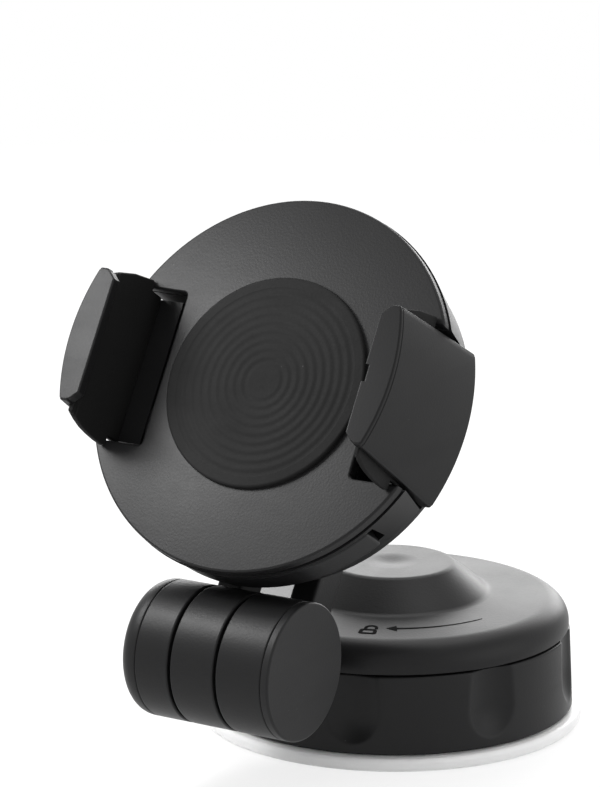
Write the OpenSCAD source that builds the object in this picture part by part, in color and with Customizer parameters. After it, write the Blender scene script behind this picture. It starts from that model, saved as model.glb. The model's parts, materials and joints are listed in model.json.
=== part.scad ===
// Suction cup holder for a flat device: twist-lock base, folding arm and round cradle with two sliding clamps.
// The origin is the middle of the gel pad's underside, +Z is up and the device faces -Y.

/* [Suction base] */
// Radius of the clear gel pad
pad_r = 36.5; // [35.5:0.5:42]
// Thickness of the gel pad
pad_t = 2.4; // [1.6:0.2:4]
// Thickness of the cup disc
cup_t = 1.8; // [1.2:0.2:2.4]
// Radius of the twist ring at its foot
ring_r = 34.8; // [33:0.2:40]
// Amount by which the ring narrows to its top
ring_taper = 0.7; // [0:0.1:1]
// Height of the twist ring
ring_h = 14.8; // [13.6:0.2:16]
// Wall of the twist ring at its top
ring_t = 3.5; // [3:0.1:4]
// Number of finger flutes round the ring
flutes = 8; // [6:1:12]
// Radius of a flute's hollow
flute_r = 8; // [5:0.5:12]
// Depth of a flute at the ring's foot
flute_depth = 2; // [1:0.1:2.6]
// Height of a flute's round end above the ring's foot
flute_foot = 2.4; // [1:0.2:5]
// Turn that locks the ring, in degrees
lock_turn = 75; // [45:5:80]
// Height that the stud lifts the cup's middle
lift_h = 2.5; // [1.5:0.1:2.5]

/* [Base cover] */
// Step from the ring's top in to the cover's rim
cover_inset = 0.2; // [0:0.1:0.5]
// Radius of the rounding between the rim and the top
rim_round = 4.8; // [3:0.2:5.4]
// Height of the cover's rim, from the ring to the start of the top
cover_h = 5.8; // [5.4:0.2:7]
// Rise of the top from the rim to the hub
cover_rise = 0.8; // [0:0.1:2]
// Wall of the cover
cover_t = 2.2; // [1.6:0.2:2.4]
// Radius of the hub at its foot
hub_foot_r = 17.2; // [16:0.2:19]
// Radius of the hub at its top
hub_top_r = 13; // [12:0.2:14]
// Height of the hub above the cover's rim
hub_h = 6.4; // [5.5:0.1:8]
// Radius of the dimple in the hub's top
dimple_r = 4; // [2:0.5:6]
// Depth of the dimple
dimple_depth = 0.5; // [0.2:0.1:0.8]

/* [Hinge and arm] */
// Length of the neck between the twist ring and the hinge barrel
neck_len = 9.4; // [8.4:0.2:16]
// Height of the hinge axis above the table
hinge_height = 25.6; // [24:0.2:30]
// Radius of the hinge barrel
barrel_r = 12.5; // [11:0.1:12.8]
// Width of the middle knuckle, which belongs to the base
knuckle_w = 9; // [7:0.5:10]
// Distance from the middle of the barrel to each end
barrel_half = 16; // [15:0.5:20]
// Rounding of the barrel's left end
end_round = 3.2; // [2:0.2:3.4]
// Radius of the hinge bolt
bolt_r = 2.5; // [2:0.1:3]
// Angle by which the device leans back from upright
lean = 31.7; // [20:0.1:45]
// Gap between the hinge barrel and the release key
barrel_gap = 0.47; // [0.4:0.01:6]
// Width of the arm
arm_w = 21; // [17:0.5:22]
// Thickness of the arm
arm_t = 7.3; // [6:0.1:8]

/* [Cradle] */
// Radius of the round cradle at its seam
disc_r = 35.6; // [33:0.2:40]
// Amount by which the back shell narrows to its dome
shell_taper = 2.6; // [1:0.2:3.2]
// Depth of the cradle from the device's back to the crown of the dome
cradle_d = 19.5; // [19:0.1:20]
// Wall of the cradle shells
shell_t = 2.2; // [1.6:0.1:2.4]
// Thickness of the rubber face pad
face_t = 1; // [0.6:0.1:1.4]

/* [Clamps] */
// Step from the cradle's rim in to the middle of a clamp's front edge
clamp_inset = 2; // [1.5:0.1:2.2]
// Radius of the curve of a clamp's outer face at its front edge
clamp_bow = 39; // [36:0.5:44]
// Step outwards of a clamp's outer face from its front edge to its rear edge
clamp_flare = 1.2; // [0:0.1:1.4]
// Distance from the middle of a clamp's front edge in to the face of its grip pad
grip_inset = 4.3; // [3.6:0.1:5]
// Height of the clamps in front of the device's back
clamp_front = 14.2; // [11:0.2:18]
// Depth of the clamps behind the device's back
clamp_back = 14.4; // [13:0.1:14.6]
// Half the height of a clamp at its front edge
clamp_half_front = 12.8; // [11:0.2:13.4]
// Half the height of a clamp at its rear edge
clamp_half_back = 14.6; // [13.5:0.1:14.8]
// Wall of a clamp
clamp_t = 2.2; // [1.6:0.1:2.4]
// Thickness of a grip pad
grip_t = 1.1; // [0.8:0.1:1.6]
// Travel of each clamp inwards
close_travel = 2.3; // [0:0.1:2.4]
// Travel of each clamp outwards
open_travel = 11.7; // [6:0.1:11.7]
// Number of teeth on the pinion
pinion_teeth = 12; // [10:2:12]
// Pitch radius of the pinion
pinion_r = 6; // [6:0.1:6.2]

/* [Clearances] */
// Gap between faces that slide or turn past each other
play = 0.3; // [0.2:0.05:0.4]
// Radial gap of a shaft in its bearing
run_play = 0.06; // [0.03:0.01:0.1]
// Gap between faces that are seated
seat_play = 0.1; // [0.05:0.05:0.15]

/* [Hidden] */
$fn = 96;

// Overrun of every cut past the face it opens
over = 1;
// Steps in a rounded corner of a turned outline
corner_steps = 10;

// Radii and heights in the base
ring_top_r = ring_r - ring_taper;
ring_in_r = ring_top_r - ring_t;
cup_r = ring_in_r - 2 * play;
cover_r = ring_top_r - cover_inset;
cup_z = pad_t;
frame_z = cup_z + cup_t;
ring_z = pad_t + play;
ring_top = ring_z + ring_h;
cover_z = ring_top + play;
edge_z = cover_z + cover_h;
crown_z = edge_z + cover_rise;
hub_z = edge_z + hub_h;
hub_round = 1.8;
hub_fillet = 2.4;
plate_z = edge_z - cover_t;
ceiling_z = hub_z - cover_t;
pad_edge = 0.6;

// Pressure frame, stud and cam
frame_t = 2.6;
stud_r = 5;
flange_r = 9;
flange_t = 1.5;
flange_z = frame_z + seat_play;
guide_wall = 2.2;
frame_dome_r = flange_r + play + guide_wall;
frame_dome_top = flange_z + flange_t + lift_h + play + guide_wall;
web_z = frame_dome_top + seat_play;
web_t = 2.2;
web_hole_r = stud_r + play;
sleeve_r = 11;
sleeve_base = 2;
ramp_in_r = 7.6;
ramp_steps = 6;
ramp_land = 10;
sleeve_z = web_z + web_t;
pin_r = 1.2;
pin_half = 13.2;
pin_z = sleeve_z + sleeve_base + play + pin_r;
stud_top = ceiling_z - lift_h - play;
spring_in_r = stud_r + play;
spring_wire = 1.8;
guide_t = 1.8;
guide_in_r = sleeve_r + play;
guide_out_r = pin_half + play;
guide_foot = pin_z - 2 * pin_r;

// Place of the first flute
flute_turn = 16.5;

// Screws of the base
base_screw_count = 3;
base_screw_in = 8.1;
base_screw_ring = ring_in_r - base_screw_in;
base_screw_turn = 30;
boss_r = 3;
screw_r = 1.2;
screw_head_r = 2.5;
screw_head_t = 1.4;
slot_spare = 2.5;
slot_margin = asin((boss_r + play) / base_screw_ring) + slot_spare;
lip_t = 1.6;
lip_depth = 1.8;

// Neck and knuckle that carry the hinge
neck_rise = 4.2;
neck_drop = 2.6;
neck_top = cover_z + neck_rise;
neck_foot = cover_z - neck_drop;
neck_gap = 0.8;
neck_root = cover_r - cover_t;
hinge_reach = ring_r + barrel_r + neck_len;

// Hinge pieces
washer_t = 0.5;
washer_rim = 4.5;
washer_r = barrel_r - washer_rim;
fork_half = knuckle_w / 2 + seat_play + washer_t;
cap_t = 1.6;
round_cap_t = 4;
cap_rim = 2.6;
spigot_r = barrel_r - cap_rim;
spigot_t = 1.1;
bolt_head_r = 4.4;
bolt_head_t = 2.6;
bolt_head_seat = barrel_half - cap_t - spigot_t - seat_play - bolt_head_t;
nut_t = 2.6;
nut_seat = barrel_half - round_cap_t - spigot_t - seat_play - nut_t;

// Arm and swivel, seen from the hinge axis
arm_back = -barrel_r;
arm_front = arm_back + arm_t;
fork_len = 20;
head_r = 12;
stub_r = 6;
swivel_gap = 1.3;
arm_set = cradle_d + arm_front + swivel_gap;
recess_r = 8.5;
recess_t = 3.4;
swivel_floor = arm_back + recess_t;
swivel_washer_t = 1;
swivel_bite = arm_t - recess_t + swivel_gap;
swivel_head_r = 3;
swivel_head_t = 1;
swivel_cap_t = 0.8;
swivel_ring_t = swivel_gap - 2 * seat_play;

// Heights in the cradle, counted from the device's back
plate_front = -face_t;
plate_back = plate_front - shell_t;
seam_gap = 0.2;
shell_front = plate_back - seam_gap;
dome_depth = 4.5;
dome_start = dome_depth - cradle_d;
dome_round = 3.4;
dome_flat_r = 14;
floor_z = shell_t - cradle_d;
dome_r = disc_r - shell_taper;
dome_angle = 60;
clamp_x = disc_r - clamp_inset;
grip_half = clamp_x - grip_inset;
bay_half = clamp_half_back + play;
bay_share = 0.5618;
bay_wall_t = 2;
bay_room = 0.8;
bay_wall = bay_share * disc_r;
bay_x = bay_wall + bay_wall_t;
bay_floor = -clamp_back - bay_room;
face_r = bay_wall;

// Rear edge of the grip pads
grip_back = -4.4;

// Rack and pinion
pitch = 2 * PI * pinion_r / pinion_teeth;
tooth_h_share = 0.28;
tooth_root_share = 1.25;
tooth_tip_share = 0.8;
tooth_h = tooth_h_share * pitch;
tooth_half_share = 0.19;
tooth_lean_share = 0.1;
gear_top = -4.8;
gear_t = 3;
gear_foot = gear_top - gear_t;
rack_w = 5.4;
rack_back = pinion_r + rack_w;
rack_short = 3;
rack_end = bay_wall - rack_short;
teeth_short = 1;
rack_teeth_end = bay_wall - teeth_short;
jaw_step = 4.6;
jaw_in = bay_wall + jaw_step;
jaw_short = 0.7;
jaw_half = clamp_half_back - jaw_short;
jaw_foot = -13.8;
jaw_top = grip_back - seat_play;
post_r = 2.5;
bed_gap = 0.15;
keeper_short = 5;
keeper_half = bay_wall - keeper_short;
keeper_w = 3.4;
gear_spring_t = 3;
ratchet_pitch = 2;
ratchet_depth = 0.8;
ratchet_teeth = 14;
ratchet_share = 0.8;
ratchet_short = 7;
ratchet_start = bay_wall - ratchet_short;

// Release key and pawl
key_inset = 0.4;
key_out_r = disc_r - key_inset;
key_t = 3.4;
key_top = -5;
key_foot = -11.2;
key_half_angle = 48.5;
key_travel = 1;
key_gap_angle = 2.2;
key_in_r = key_out_r - key_t;
key_room = 0.5;
key_wall_r = key_in_r - key_travel - key_room;
pawl_x = -2;
pawl_in = 4.2;
pawl_y = -rack_back - pawl_in;
pawl_hub_r = 2.4;
pawl_pin_r = 1.1;
pawl_nose = 6;
pawl_nose_gap = 0.25;
pawl_tail = 8.4;
pawl_arm = 1.8;
pawl_spring_t = 2;
pawl_spring_wire = 0.8;
pawl_lever = 5;
stem_in = pawl_x + pawl_lever;
stem_w = 3.2;
stem_foot = -10;
barb = 0.7;
barb_x = stem_in + stem_w + barb;
barb_y = seat_play - sqrt(pow(key_wall_r - shell_t, 2) - pow(barb_x, 2));

// Distance from the hinge axis to the cradle's axis
arm_len = key_out_r + sqrt(pow(barrel_r + barrel_gap, 2) - pow(arm_set + key_foot, 2));

// Screws of the cradle
cradle_screw_share = 0.61;
cradle_screw_x = cradle_screw_share * bay_wall;
cradle_screw_in = 14.6;
cradle_screw_y = disc_r - cradle_screw_in;
cradle_boss_r = 2.7;
cradle_head_r = 2.3;
cradle_head_t = 1.2;
cradle_head_sink = 0.4;
cradle_shaft_r = 1;
cradle_shaft_l = 9;
cradle_seat = cradle_head_t + cradle_head_sink - cradle_d;
cradle_post_h = 1.1;
cradle_post_top = floor_z + cradle_post_h;

// Clamp details
grip_face = grip_half + grip_t;
clamp_lip = 1.5;
clamp_plate = 2;
lip_x = grip_half - clamp_lip;
lip_corner = 1.9;
notch_half = 1.6;
notch_depth = 0.7;
grip_front = clamp_front - clamp_plate;
grip_foot = plate_front + play;
grip_half_shares = [0.77, 0.84, 0.93, 1];
grip_z_shares = [1, 0.82, 0.49, 0];
grip_tall = 16.2;
tongue_half = clamp_half_back - play;
ridge_depth = 0.4;
ridge_w = 0.5;
ridge_shares = [0.9, 0.96];

// Points of an arc from one angle to another
function arc(cx, cy, r, from, to) =
    [for (i = [0 : corner_steps]) let (a = from + (to - from) * i / corner_steps) [cx + r * cos(a), cy + r * sin(a)]];

// Half of the cover's outside, from the rim to the hub's middle
cover_outline = concat(
    [[cover_r, cover_z]],
    arc(cover_r - rim_round, edge_z - rim_round, rim_round, 0, 90),
    arc(hub_foot_r + hub_fillet, crown_z + hub_fillet, hub_fillet, 270, 225),
    arc(hub_top_r - hub_round, hub_z - hub_round, hub_round, 45, 90),
    [[0, hub_z]]);

// Half of the cover's inside
cover_inside = concat(
    [[0, ceiling_z]],
    [[hub_top_r - cover_t, ceiling_z]],
    [[hub_foot_r - cover_t, plate_z]],
    arc(cover_r - rim_round, edge_z - rim_round, rim_round - cover_t, 90, 0),
    [[cover_r - cover_t, cover_z]]);

// Half of the back shell's outside, from the seam to the dome's crown
shell_outline = concat(
    [[0, shell_front]],
    [[disc_r, shell_front]],
    arc(dome_r - dome_round, dome_start, dome_round, 0, -dome_angle),
    [[dome_flat_r, -cradle_d]],
    [[0, -cradle_d]]);

// Half of the back shell's hollow
shell_hollow = concat(
    [[0, shell_front + over]],
    [[disc_r - shell_t, shell_front + over]],
    [[disc_r - shell_t, shell_front]],
    arc(dome_r - dome_round, dome_start, dome_round - shell_t, 0, -dome_angle),
    [[dome_flat_r, floor_z]],
    [[0, floor_z]]);

// Pieces placed about the hinge axis, with the arm along +Y
module at_hinge() {
    translate([0, -hinge_reach, hinge_height])
        rotate([90 - lean, 0, 0])
            children();
}

// Pieces placed about the cradle's axis, with the device's back at Z = 0
module at_cradle() {
    at_hinge()
        translate([0, arm_len, arm_set])
            children();
}

// A plate whose outline lies in the Y-Z plane, centred on X
module side_plate(points, width) {
    rotate([90, 0, 90])
        linear_extrude(height = width, center = true)
            polygon(points);
}

// A tube of the given inner and outer radius
module tube(r_in, r_out, h) {
    difference() {
        cylinder(r = r_out, h = h);
        translate([0, 0, -over])
            cylinder(r = r_in, h = h + 2 * over);
    }
}

// A cylinder along X from one X to another
module x_rod(r, from, to) {
    translate([from, 0, 0])
        rotate([0, 90, 0])
            cylinder(r = r, h = to - from);
}

// A six-sided bar along X, as wide across its corners as twice the radius
module x_hexagon(r, from, to) {
    translate([from, 0, 0])
        rotate([0, 90, 0])
            cylinder(r = r, h = to - from, $fn = 6);
}

// A part of a ring with square section
module ring_sector(r_in, r_out, z_low, z_high, from, to) {
    rotate([0, 0, from])
        rotate_extrude(angle = to - from)
            translate([r_in, z_low])
                square([r_out - r_in, z_high - z_low]);
}

// Children repeated at the places of the base screws
module at_base_screws() {
    for (i = [0 : base_screw_count - 1])
        rotate([0, 0, base_screw_turn + 360 * i / base_screw_count])
            translate([base_screw_ring, 0, 0])
                children();
}

module gel_pad() {
    color([0.9, 0.93, 0.94, 0.5])
        rotate_extrude()
            polygon([[0, 0], [pad_r - pad_edge, 0], [pad_r, pad_edge], [pad_r, pad_t], [0, pad_t]]);
}

module cup_disc() {
    color([0.12, 0.12, 0.13])
        translate([0, 0, cup_z])
            cylinder(r = cup_r, h = cup_t);
}

module lift_stud() {
    color([0.75, 0.76, 0.78])
        difference() {
            union() {
                translate([0, 0, flange_z])
                    cylinder(r = flange_r, h = flange_t);
                translate([0, 0, flange_z])
                    cylinder(r = stud_r, h = stud_top - flange_z);
            }
            translate([0, 0, pin_z])
                x_rod(pin_r, -flange_r, flange_r);
        }
}

module cross_pin() {
    color([0.7, 0.7, 0.72])
        translate([0, 0, pin_z])
            x_rod(pin_r, -pin_half, pin_half);
}

module pressure_frame() {
    color([0.16, 0.16, 0.17])
        difference() {
            union() {
                translate([0, 0, frame_z])
                    cylinder(r = cup_r, h = frame_t);
                translate([0, 0, frame_z])
                    cylinder(r = frame_dome_r, h = frame_dome_top - frame_z);
            }
            translate([0, 0, frame_z - over])
                cylinder(r = flange_r + play, h = over + frame_dome_top - guide_wall - frame_z);
            translate([0, 0, frame_z])
                cylinder(r = stud_r + run_play, h = frame_dome_top);
            at_base_screws() {
                translate([0, 0, frame_z - over])
                    cylinder(r = screw_head_r + seat_play, h = over + screw_head_t + seat_play);
                translate([0, 0, frame_z])
                    cylinder(r = screw_r + seat_play, h = frame_t + over);
            }
        }
}

// One finger flute, upright with a round foot
module flute() {
    reach = sqrt(2 * flute_r * flute_depth - flute_depth * flute_depth);
    translate([ring_r + flute_r - flute_depth, 0, ring_z + flute_foot + reach])
        rotate_extrude()
            polygon(concat(arc(0, 0, flute_r, -90, 0), [[flute_r, ring_h], [0, ring_h]]));
}

module lock_ring() {
    color([0.11, 0.11, 0.12])
        difference() {
            union() {
                rotate_extrude()
                    polygon([[ring_in_r, ring_z], [ring_r, ring_z], [ring_top_r, ring_top], [ring_in_r, ring_top]]);
                translate([0, 0, web_z])
                    tube(web_hole_r, ring_in_r + over, web_t);
            }
            for (i = [0 : flutes - 1])
                rotate([0, 0, flute_turn + 360 * i / flutes])
                    flute();
            for (i = [0 : base_screw_count - 1])
                rotate([0, 0, base_screw_turn + 360 * i / base_screw_count])
                    ring_sector(base_screw_ring - boss_r - play, base_screw_ring + boss_r + play,
                        web_z - over, web_z + web_t + over, -slot_margin, lock_turn + slot_margin);
        }
}

module cam_sleeve() {
    color([0.2, 0.2, 0.22])
        union() {
            translate([0, 0, sleeve_z])
                tube(web_hole_r, sleeve_r, sleeve_base);
            for (side = [0, 180])
                for (i = [1 : ramp_steps])
                    rotate([0, 0, side])
                        ring_sector(ramp_in_r, sleeve_r, sleeve_z, sleeve_z + sleeve_base + lift_h * i / ramp_steps,
                            lock_turn * i / ramp_steps, lock_turn + ramp_land);
        }
}

module stud_spring() {
    color([0.8, 0.8, 0.82])
        translate([0, 0, pin_z + pin_r + seat_play])
            tube(spring_in_r, spring_in_r + spring_wire, ceiling_z - pin_z - pin_r - 2 * seat_play);
}

// The bar that carries the middle knuckle, in front of the base
module neck() {
    side_plate([[-neck_root, cover_z], [-neck_root, neck_top], [-hinge_reach, neck_top],
        [-hinge_reach, neck_foot], [-ring_r - neck_gap, neck_foot], [-ring_r - neck_gap, cover_z]], knuckle_w);
    translate([0, -hinge_reach, hinge_height])
        x_rod(barrel_r, -knuckle_w / 2, knuckle_w / 2);
}

module base_cover() {
    dimple_ball = (dimple_r * dimple_r + dimple_depth * dimple_depth) / (2 * dimple_depth);
    color([0.13, 0.13, 0.14])
        difference() {
            union() {
                rotate_extrude()
                    polygon(concat(cover_outline, cover_inside));
                translate([0, 0, cover_z - lip_depth])
                    tube(ring_in_r - play - lip_t, ring_in_r - play, plate_z + cover_t / 2 - cover_z + lip_depth);
                at_base_screws()
                    translate([0, 0, frame_z + frame_t])
                        cylinder(r = boss_r, h = plate_z + cover_t / 2 - frame_z - frame_t);
                intersection() {
                    for (x = [-guide_out_r, guide_in_r])
                        for (y = [-pin_r - seat_play - guide_t, pin_r + seat_play])
                            translate([x, y, guide_foot])
                                cube([guide_out_r - guide_in_r, guide_t, ceiling_z - guide_foot]);
                    rotate_extrude()
                        polygon(concat([[0, web_z], [cover_r, web_z]], cover_outline));
                }
                neck();
            }
            translate([0, 0, hub_z + dimple_ball - dimple_depth])
                sphere(r = dimple_ball);
            at_base_screws()
                translate([0, 0, frame_z])
                    cylinder(r = screw_r + run_play, h = plate_z - frame_z);
            translate([0, -hinge_reach, hinge_height])
                x_rod(bolt_r + run_play, -knuckle_w, knuckle_w);
        }
}

module base_screws() {
    color([0.6, 0.6, 0.62])
        at_base_screws() {
            translate([0, 0, frame_z + seat_play])
                cylinder(r = screw_head_r, h = screw_head_t);
            translate([0, 0, frame_z + seat_play])
                cylinder(r = screw_r, h = plate_z - frame_z - 2 * cover_t);
        }
}

module hinge_bolt() {
    color([0.66, 0.66, 0.68])
        at_hinge() {
            x_rod(bolt_r, -nut_seat - nut_t, bolt_head_seat + bolt_head_t);
            x_rod(bolt_head_r, bolt_head_seat, bolt_head_seat + bolt_head_t);
        }
}

module hinge_nut() {
    color([0.6, 0.6, 0.62])
        at_hinge()
            difference() {
                x_hexagon(bolt_head_r, -nut_seat - nut_t, -nut_seat);
                x_rod(bolt_r, -barrel_half, 0);
            }
}

module friction_washers() {
    color([0.72, 0.7, 0.66])
        at_hinge()
            for (side = [0, 1])
                mirror([side, 0, 0])
                    difference() {
                        x_rod(washer_r, fork_half - washer_t, fork_half);
                        x_rod(bolt_r + run_play, 0, barrel_half);
                    }
}

module arm() {
    color([0.12, 0.12, 0.13])
        at_hinge()
            difference() {
                union() {
                    x_rod(barrel_r, -barrel_half + round_cap_t, barrel_half - cap_t);
                    translate([-arm_w / 2, 0, arm_back])
                        cube([arm_w, arm_len, arm_t]);
                    translate([0, arm_len, arm_back])
                        cylinder(r = head_r, h = arm_t);
                }
                // Gap between the two outer knuckles
                translate([-fork_half, -barrel_r - over, -barrel_r - over])
                    cube([2 * fork_half, barrel_r + over + fork_len, 2 * barrel_r + 2 * over]);
                // Bolt, its head and its nut
                x_rod(bolt_r + run_play, -barrel_half, barrel_half);
                x_rod(bolt_head_r + seat_play, bolt_head_seat, barrel_half);
                x_hexagon(bolt_head_r + seat_play, -barrel_half, -nut_seat);
                // Seats of the two end caps
                x_rod(spigot_r + seat_play, barrel_half - cap_t - spigot_t - seat_play, barrel_half);
                x_rod(spigot_r + seat_play, -barrel_half, -barrel_half + round_cap_t + spigot_t + seat_play);
                // Bearing and rear recess of the swivel
                translate([0, arm_len, arm_back]) {
                    cylinder(r = stub_r + run_play, h = arm_t + over);
                    translate([0, 0, -over])
                        cylinder(r = recess_r, h = recess_t + over);
                }
            }
}

module right_hinge_cap() {
    color([0.23, 0.23, 0.24])
        at_hinge() {
            x_rod(barrel_r, barrel_half - cap_t, barrel_half);
            x_rod(spigot_r, barrel_half - cap_t - spigot_t, barrel_half);
        }
}

module left_hinge_cap() {
    color([0.13, 0.13, 0.14])
        at_hinge() {
            rotate([0, -90, 0])
                rotate_extrude()
                    polygon(concat(
                        [[0, barrel_half - round_cap_t], [barrel_r, barrel_half - round_cap_t]],
                        arc(barrel_r - end_round, barrel_half - end_round, end_round, 0, 90),
                        [[0, barrel_half]]));
            x_rod(spigot_r, -barrel_half + round_cap_t - over, -barrel_half + round_cap_t + spigot_t);
        }
}

module swivel_ring() {
    color([0.7, 0.68, 0.64])
        at_hinge()
            translate([0, arm_len, arm_front + seat_play])
                tube(stub_r + play, head_r, swivel_ring_t);
}

module swivel_washer() {
    color([0.7, 0.7, 0.72])
        at_hinge()
            translate([0, arm_len, swivel_floor - seat_play - swivel_washer_t])
                tube(screw_r + seat_play, recess_r - play, swivel_washer_t);
}

module swivel_screw() {
    color([0.62, 0.62, 0.64])
        at_hinge()
            translate([0, arm_len, swivel_floor - seat_play - swivel_washer_t]) {
                translate([0, 0, -swivel_head_t])
                    cylinder(r = swivel_head_r, h = swivel_head_t);
                cylinder(r = screw_r, h = swivel_bite + seat_play + swivel_washer_t);
            }
}

module swivel_cap() {
    color([0.14, 0.14, 0.15])
        at_hinge()
            translate([0, arm_len, arm_back])
                cylinder(r = recess_r, h = swivel_cap_t);
}

// Solid form of the back shell
module shell_body() {
    rotate_extrude()
        polygon(shell_outline);
}

// Box from a wall outwards past the cradle's side, on both sides
module side_bays(x_in, y_half, z_low, z_high) {
    for (side = [0, 1])
        mirror([side, 0, 0])
            translate([x_in, -y_half, z_low])
                cube([disc_r, 2 * y_half, z_high - z_low]);
}

// Places of the four cradle screws
module at_cradle_screws() {
    for (x = [-cradle_screw_x, cradle_screw_x])
        for (y = [-cradle_screw_y, cradle_screw_y])
            translate([x, y, 0])
                children();
}

module back_shell() {
    key_from = 270 - key_half_angle;
    key_to = 270 + key_half_angle;
    color([0.14, 0.14, 0.15])
        at_cradle()
            difference() {
                union() {
                    difference() {
                        shell_body();
                        rotate_extrude()
                            polygon(shell_hollow);
                    }
                    // Walls round the two clamp bays and the key's bay
                    intersection() {
                        shell_body();
                        union() {
                            side_bays(bay_wall, bay_half + shell_t, -cradle_d, shell_front);
                            ring_sector(key_wall_r - shell_t, disc_r, key_foot - play - shell_t, shell_front,
                                key_from - 2 * key_gap_angle, key_to + 2 * key_gap_angle);
                        }
                    }
                    // Post of the pinion, boss of the pawl and beds of the racks
                    translate([0, 0, floor_z - over])
                        cylinder(r = post_r, h = gear_top - floor_z + over);
                    translate([pawl_x, pawl_y, floor_z - over])
                        cylinder(r = pawl_hub_r,
                            h = gear_foot - pawl_spring_t - 2 * seat_play - floor_z + over);
                    for (side = [0, 1])
                        mirror([0, side, 0])
                            translate([-bay_wall, pinion_r + tooth_h, floor_z - over])
                                cube([2 * bay_wall, rack_back - pinion_r - 2 * tooth_h,
                                    gear_foot - bed_gap - floor_z + over]);
                    // Posts of the screws
                    at_cradle_screws()
                        translate([0, 0, floor_z - over])
                            cylinder(r = cradle_boss_r, h = cradle_post_top - floor_z + over);
                    // Stub that turns in the arm's head
                    translate([0, 0, swivel_floor - arm_set])
                        cylinder(r = stub_r, h = arm_t - recess_t + swivel_gap + over);
                }
                // Clamp bays
                side_bays(bay_x, bay_half, bay_floor, shell_front + over);
                // Windows for the racks
                for (side = [0, 180])
                    rotate([0, 0, side])
                        translate([bay_wall - over, pinion_r - tooth_h - play, gear_foot - bed_gap])
                            cube([shell_t + 2 * over, rack_back - pinion_r + tooth_h + 2 * play, gear_t + 2 * bed_gap]);
                // Key's bay and the window for its stem
                ring_sector(key_wall_r, disc_r + over, key_foot - play, key_top + play,
                    key_from - key_gap_angle, key_to + key_gap_angle);
                translate([stem_in - play, -disc_r, stem_foot - play])
                    cube([stem_w + 2 * play, disc_r - key_wall_r + 2 * shell_t + over,
                        key_top - stem_foot + 2 * play]);
                // Holes for the screws, the pawl's pin and the swivel screw
                at_cradle_screws() {
                    translate([0, 0, -cradle_d])
                        cylinder(r = cradle_shaft_r + seat_play, h = cradle_d);
                    translate([0, 0, cradle_seat - cradle_d])
                        cylinder(r = cradle_head_r + seat_play, h = cradle_d);
                }
                translate([pawl_x, pawl_y, floor_z + over])
                    cylinder(r = pawl_pin_r, h = cradle_d);
                translate([0, 0, swivel_floor - arm_set - over])
                    cylinder(r = screw_r + run_play, h = over + swivel_bite + seat_play);
            }
}

module front_plate() {
    color([0.12, 0.12, 0.13])
        at_cradle()
            difference() {
                union() {
                    translate([0, 0, plate_back])
                        cylinder(r = disc_r - seam_gap, h = plate_front - plate_back);
                    at_cradle_screws()
                        translate([0, 0, cradle_post_top + seat_play])
                            cylinder(r = cradle_boss_r, h = plate_front - over - cradle_post_top);
                    // Ring over the pinion and ribs over the racks
                    translate([0, 0, gear_top + play])
                        tube(post_r + seat_play, pinion_r - tooth_h, plate_front - over - gear_top);
                    for (side = [0, 1])
                        mirror([0, side, 0])
                            translate([-keeper_half, rack_back - keeper_w, gear_top + play])
                                cube([2 * keeper_half, keeper_w - play, plate_front - over - gear_top]);
                }
                side_bays(bay_x, bay_half, plate_back - over, over);
                at_cradle_screws()
                    translate([0, 0, cradle_seat])
                        cylinder(r = cradle_shaft_r + run_play, h = cradle_shaft_l + seat_play);
            }
}

module face_pad() {
    color([0.07, 0.07, 0.07])
        at_cradle()
            translate([0, 0, plate_front])
                cylinder(r = face_r, h = face_t);
}

module cradle_screws() {
    color([0.55, 0.55, 0.57])
        at_cradle()
            at_cradle_screws()
                translate([0, 0, cradle_seat]) {
                    cylinder(r = cradle_shaft_r, h = cradle_shaft_l);
                    translate([0, 0, -cradle_head_t])
                        cylinder(r = cradle_head_r, h = cradle_head_t);
                }
}

// Outline of one rack tooth, pointing to -Y from the pitch line
function rack_tooth(x, y) = [
    [x - pitch * (tooth_half_share + tooth_lean_share), y + tooth_h],
    [x - pitch * (tooth_half_share - tooth_lean_share), y - tooth_h],
    [x + pitch * (tooth_half_share - tooth_lean_share), y - tooth_h],
    [x + pitch * (tooth_half_share + tooth_lean_share), y + tooth_h]];

// Teeth and bar of the rack of the right jaw, with a gap between two teeth at X = 0
module rack() {
    first = -floor(rack_end / pitch);
    last = floor(rack_teeth_end / pitch) - 1;
    translate([0, 0, gear_foot])
        linear_extrude(height = gear_t) {
            translate([-rack_end, pinion_r + tooth_h])
                square([rack_end + jaw_in + over, rack_back - pinion_r - tooth_h]);
            for (i = [first : last])
                polygon(rack_tooth((i + 0.5) * pitch, pinion_r));
        }
}

// Saw teeth cut in the outer edge of the left rack
module ratchet_cuts() {
    translate([0, 0, gear_foot - over])
        linear_extrude(height = gear_t + 2 * over)
            for (i = [0 : ratchet_teeth - 1])
                translate([ratchet_start - ratchet_pitch * i, rack_back])
                    polygon([[0, over], [0, -ratchet_depth], [-ratchet_pitch * ratchet_share, 0],
                        [-ratchet_pitch * ratchet_share, over]]);
}

// Body bounded by a clamp's flared outer face, set in by an amount, between two heights
module clamp_form(inset, z_low, z_high) {
    lean_out = clamp_flare / (clamp_front + clamp_back);
    translate([clamp_x - clamp_bow, 0, z_low])
        cylinder(r1 = clamp_bow - inset + lean_out * (clamp_front - z_low),
            r2 = clamp_bow - inset + lean_out * (clamp_front - z_high), h = z_high - z_low);
}

// Block of the right jaw inside its clamp
module jaw_block() {
    intersection() {
        clamp_form(clamp_t + seat_play, jaw_foot, jaw_top);
        translate([jaw_in, -jaw_half, jaw_foot])
            cube([disc_r, 2 * jaw_half, jaw_top - jaw_foot]);
    }
}

module right_jaw() {
    color([0.1, 0.1, 0.1])
        at_cradle() {
            jaw_block();
            rack();
        }
}

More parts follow.
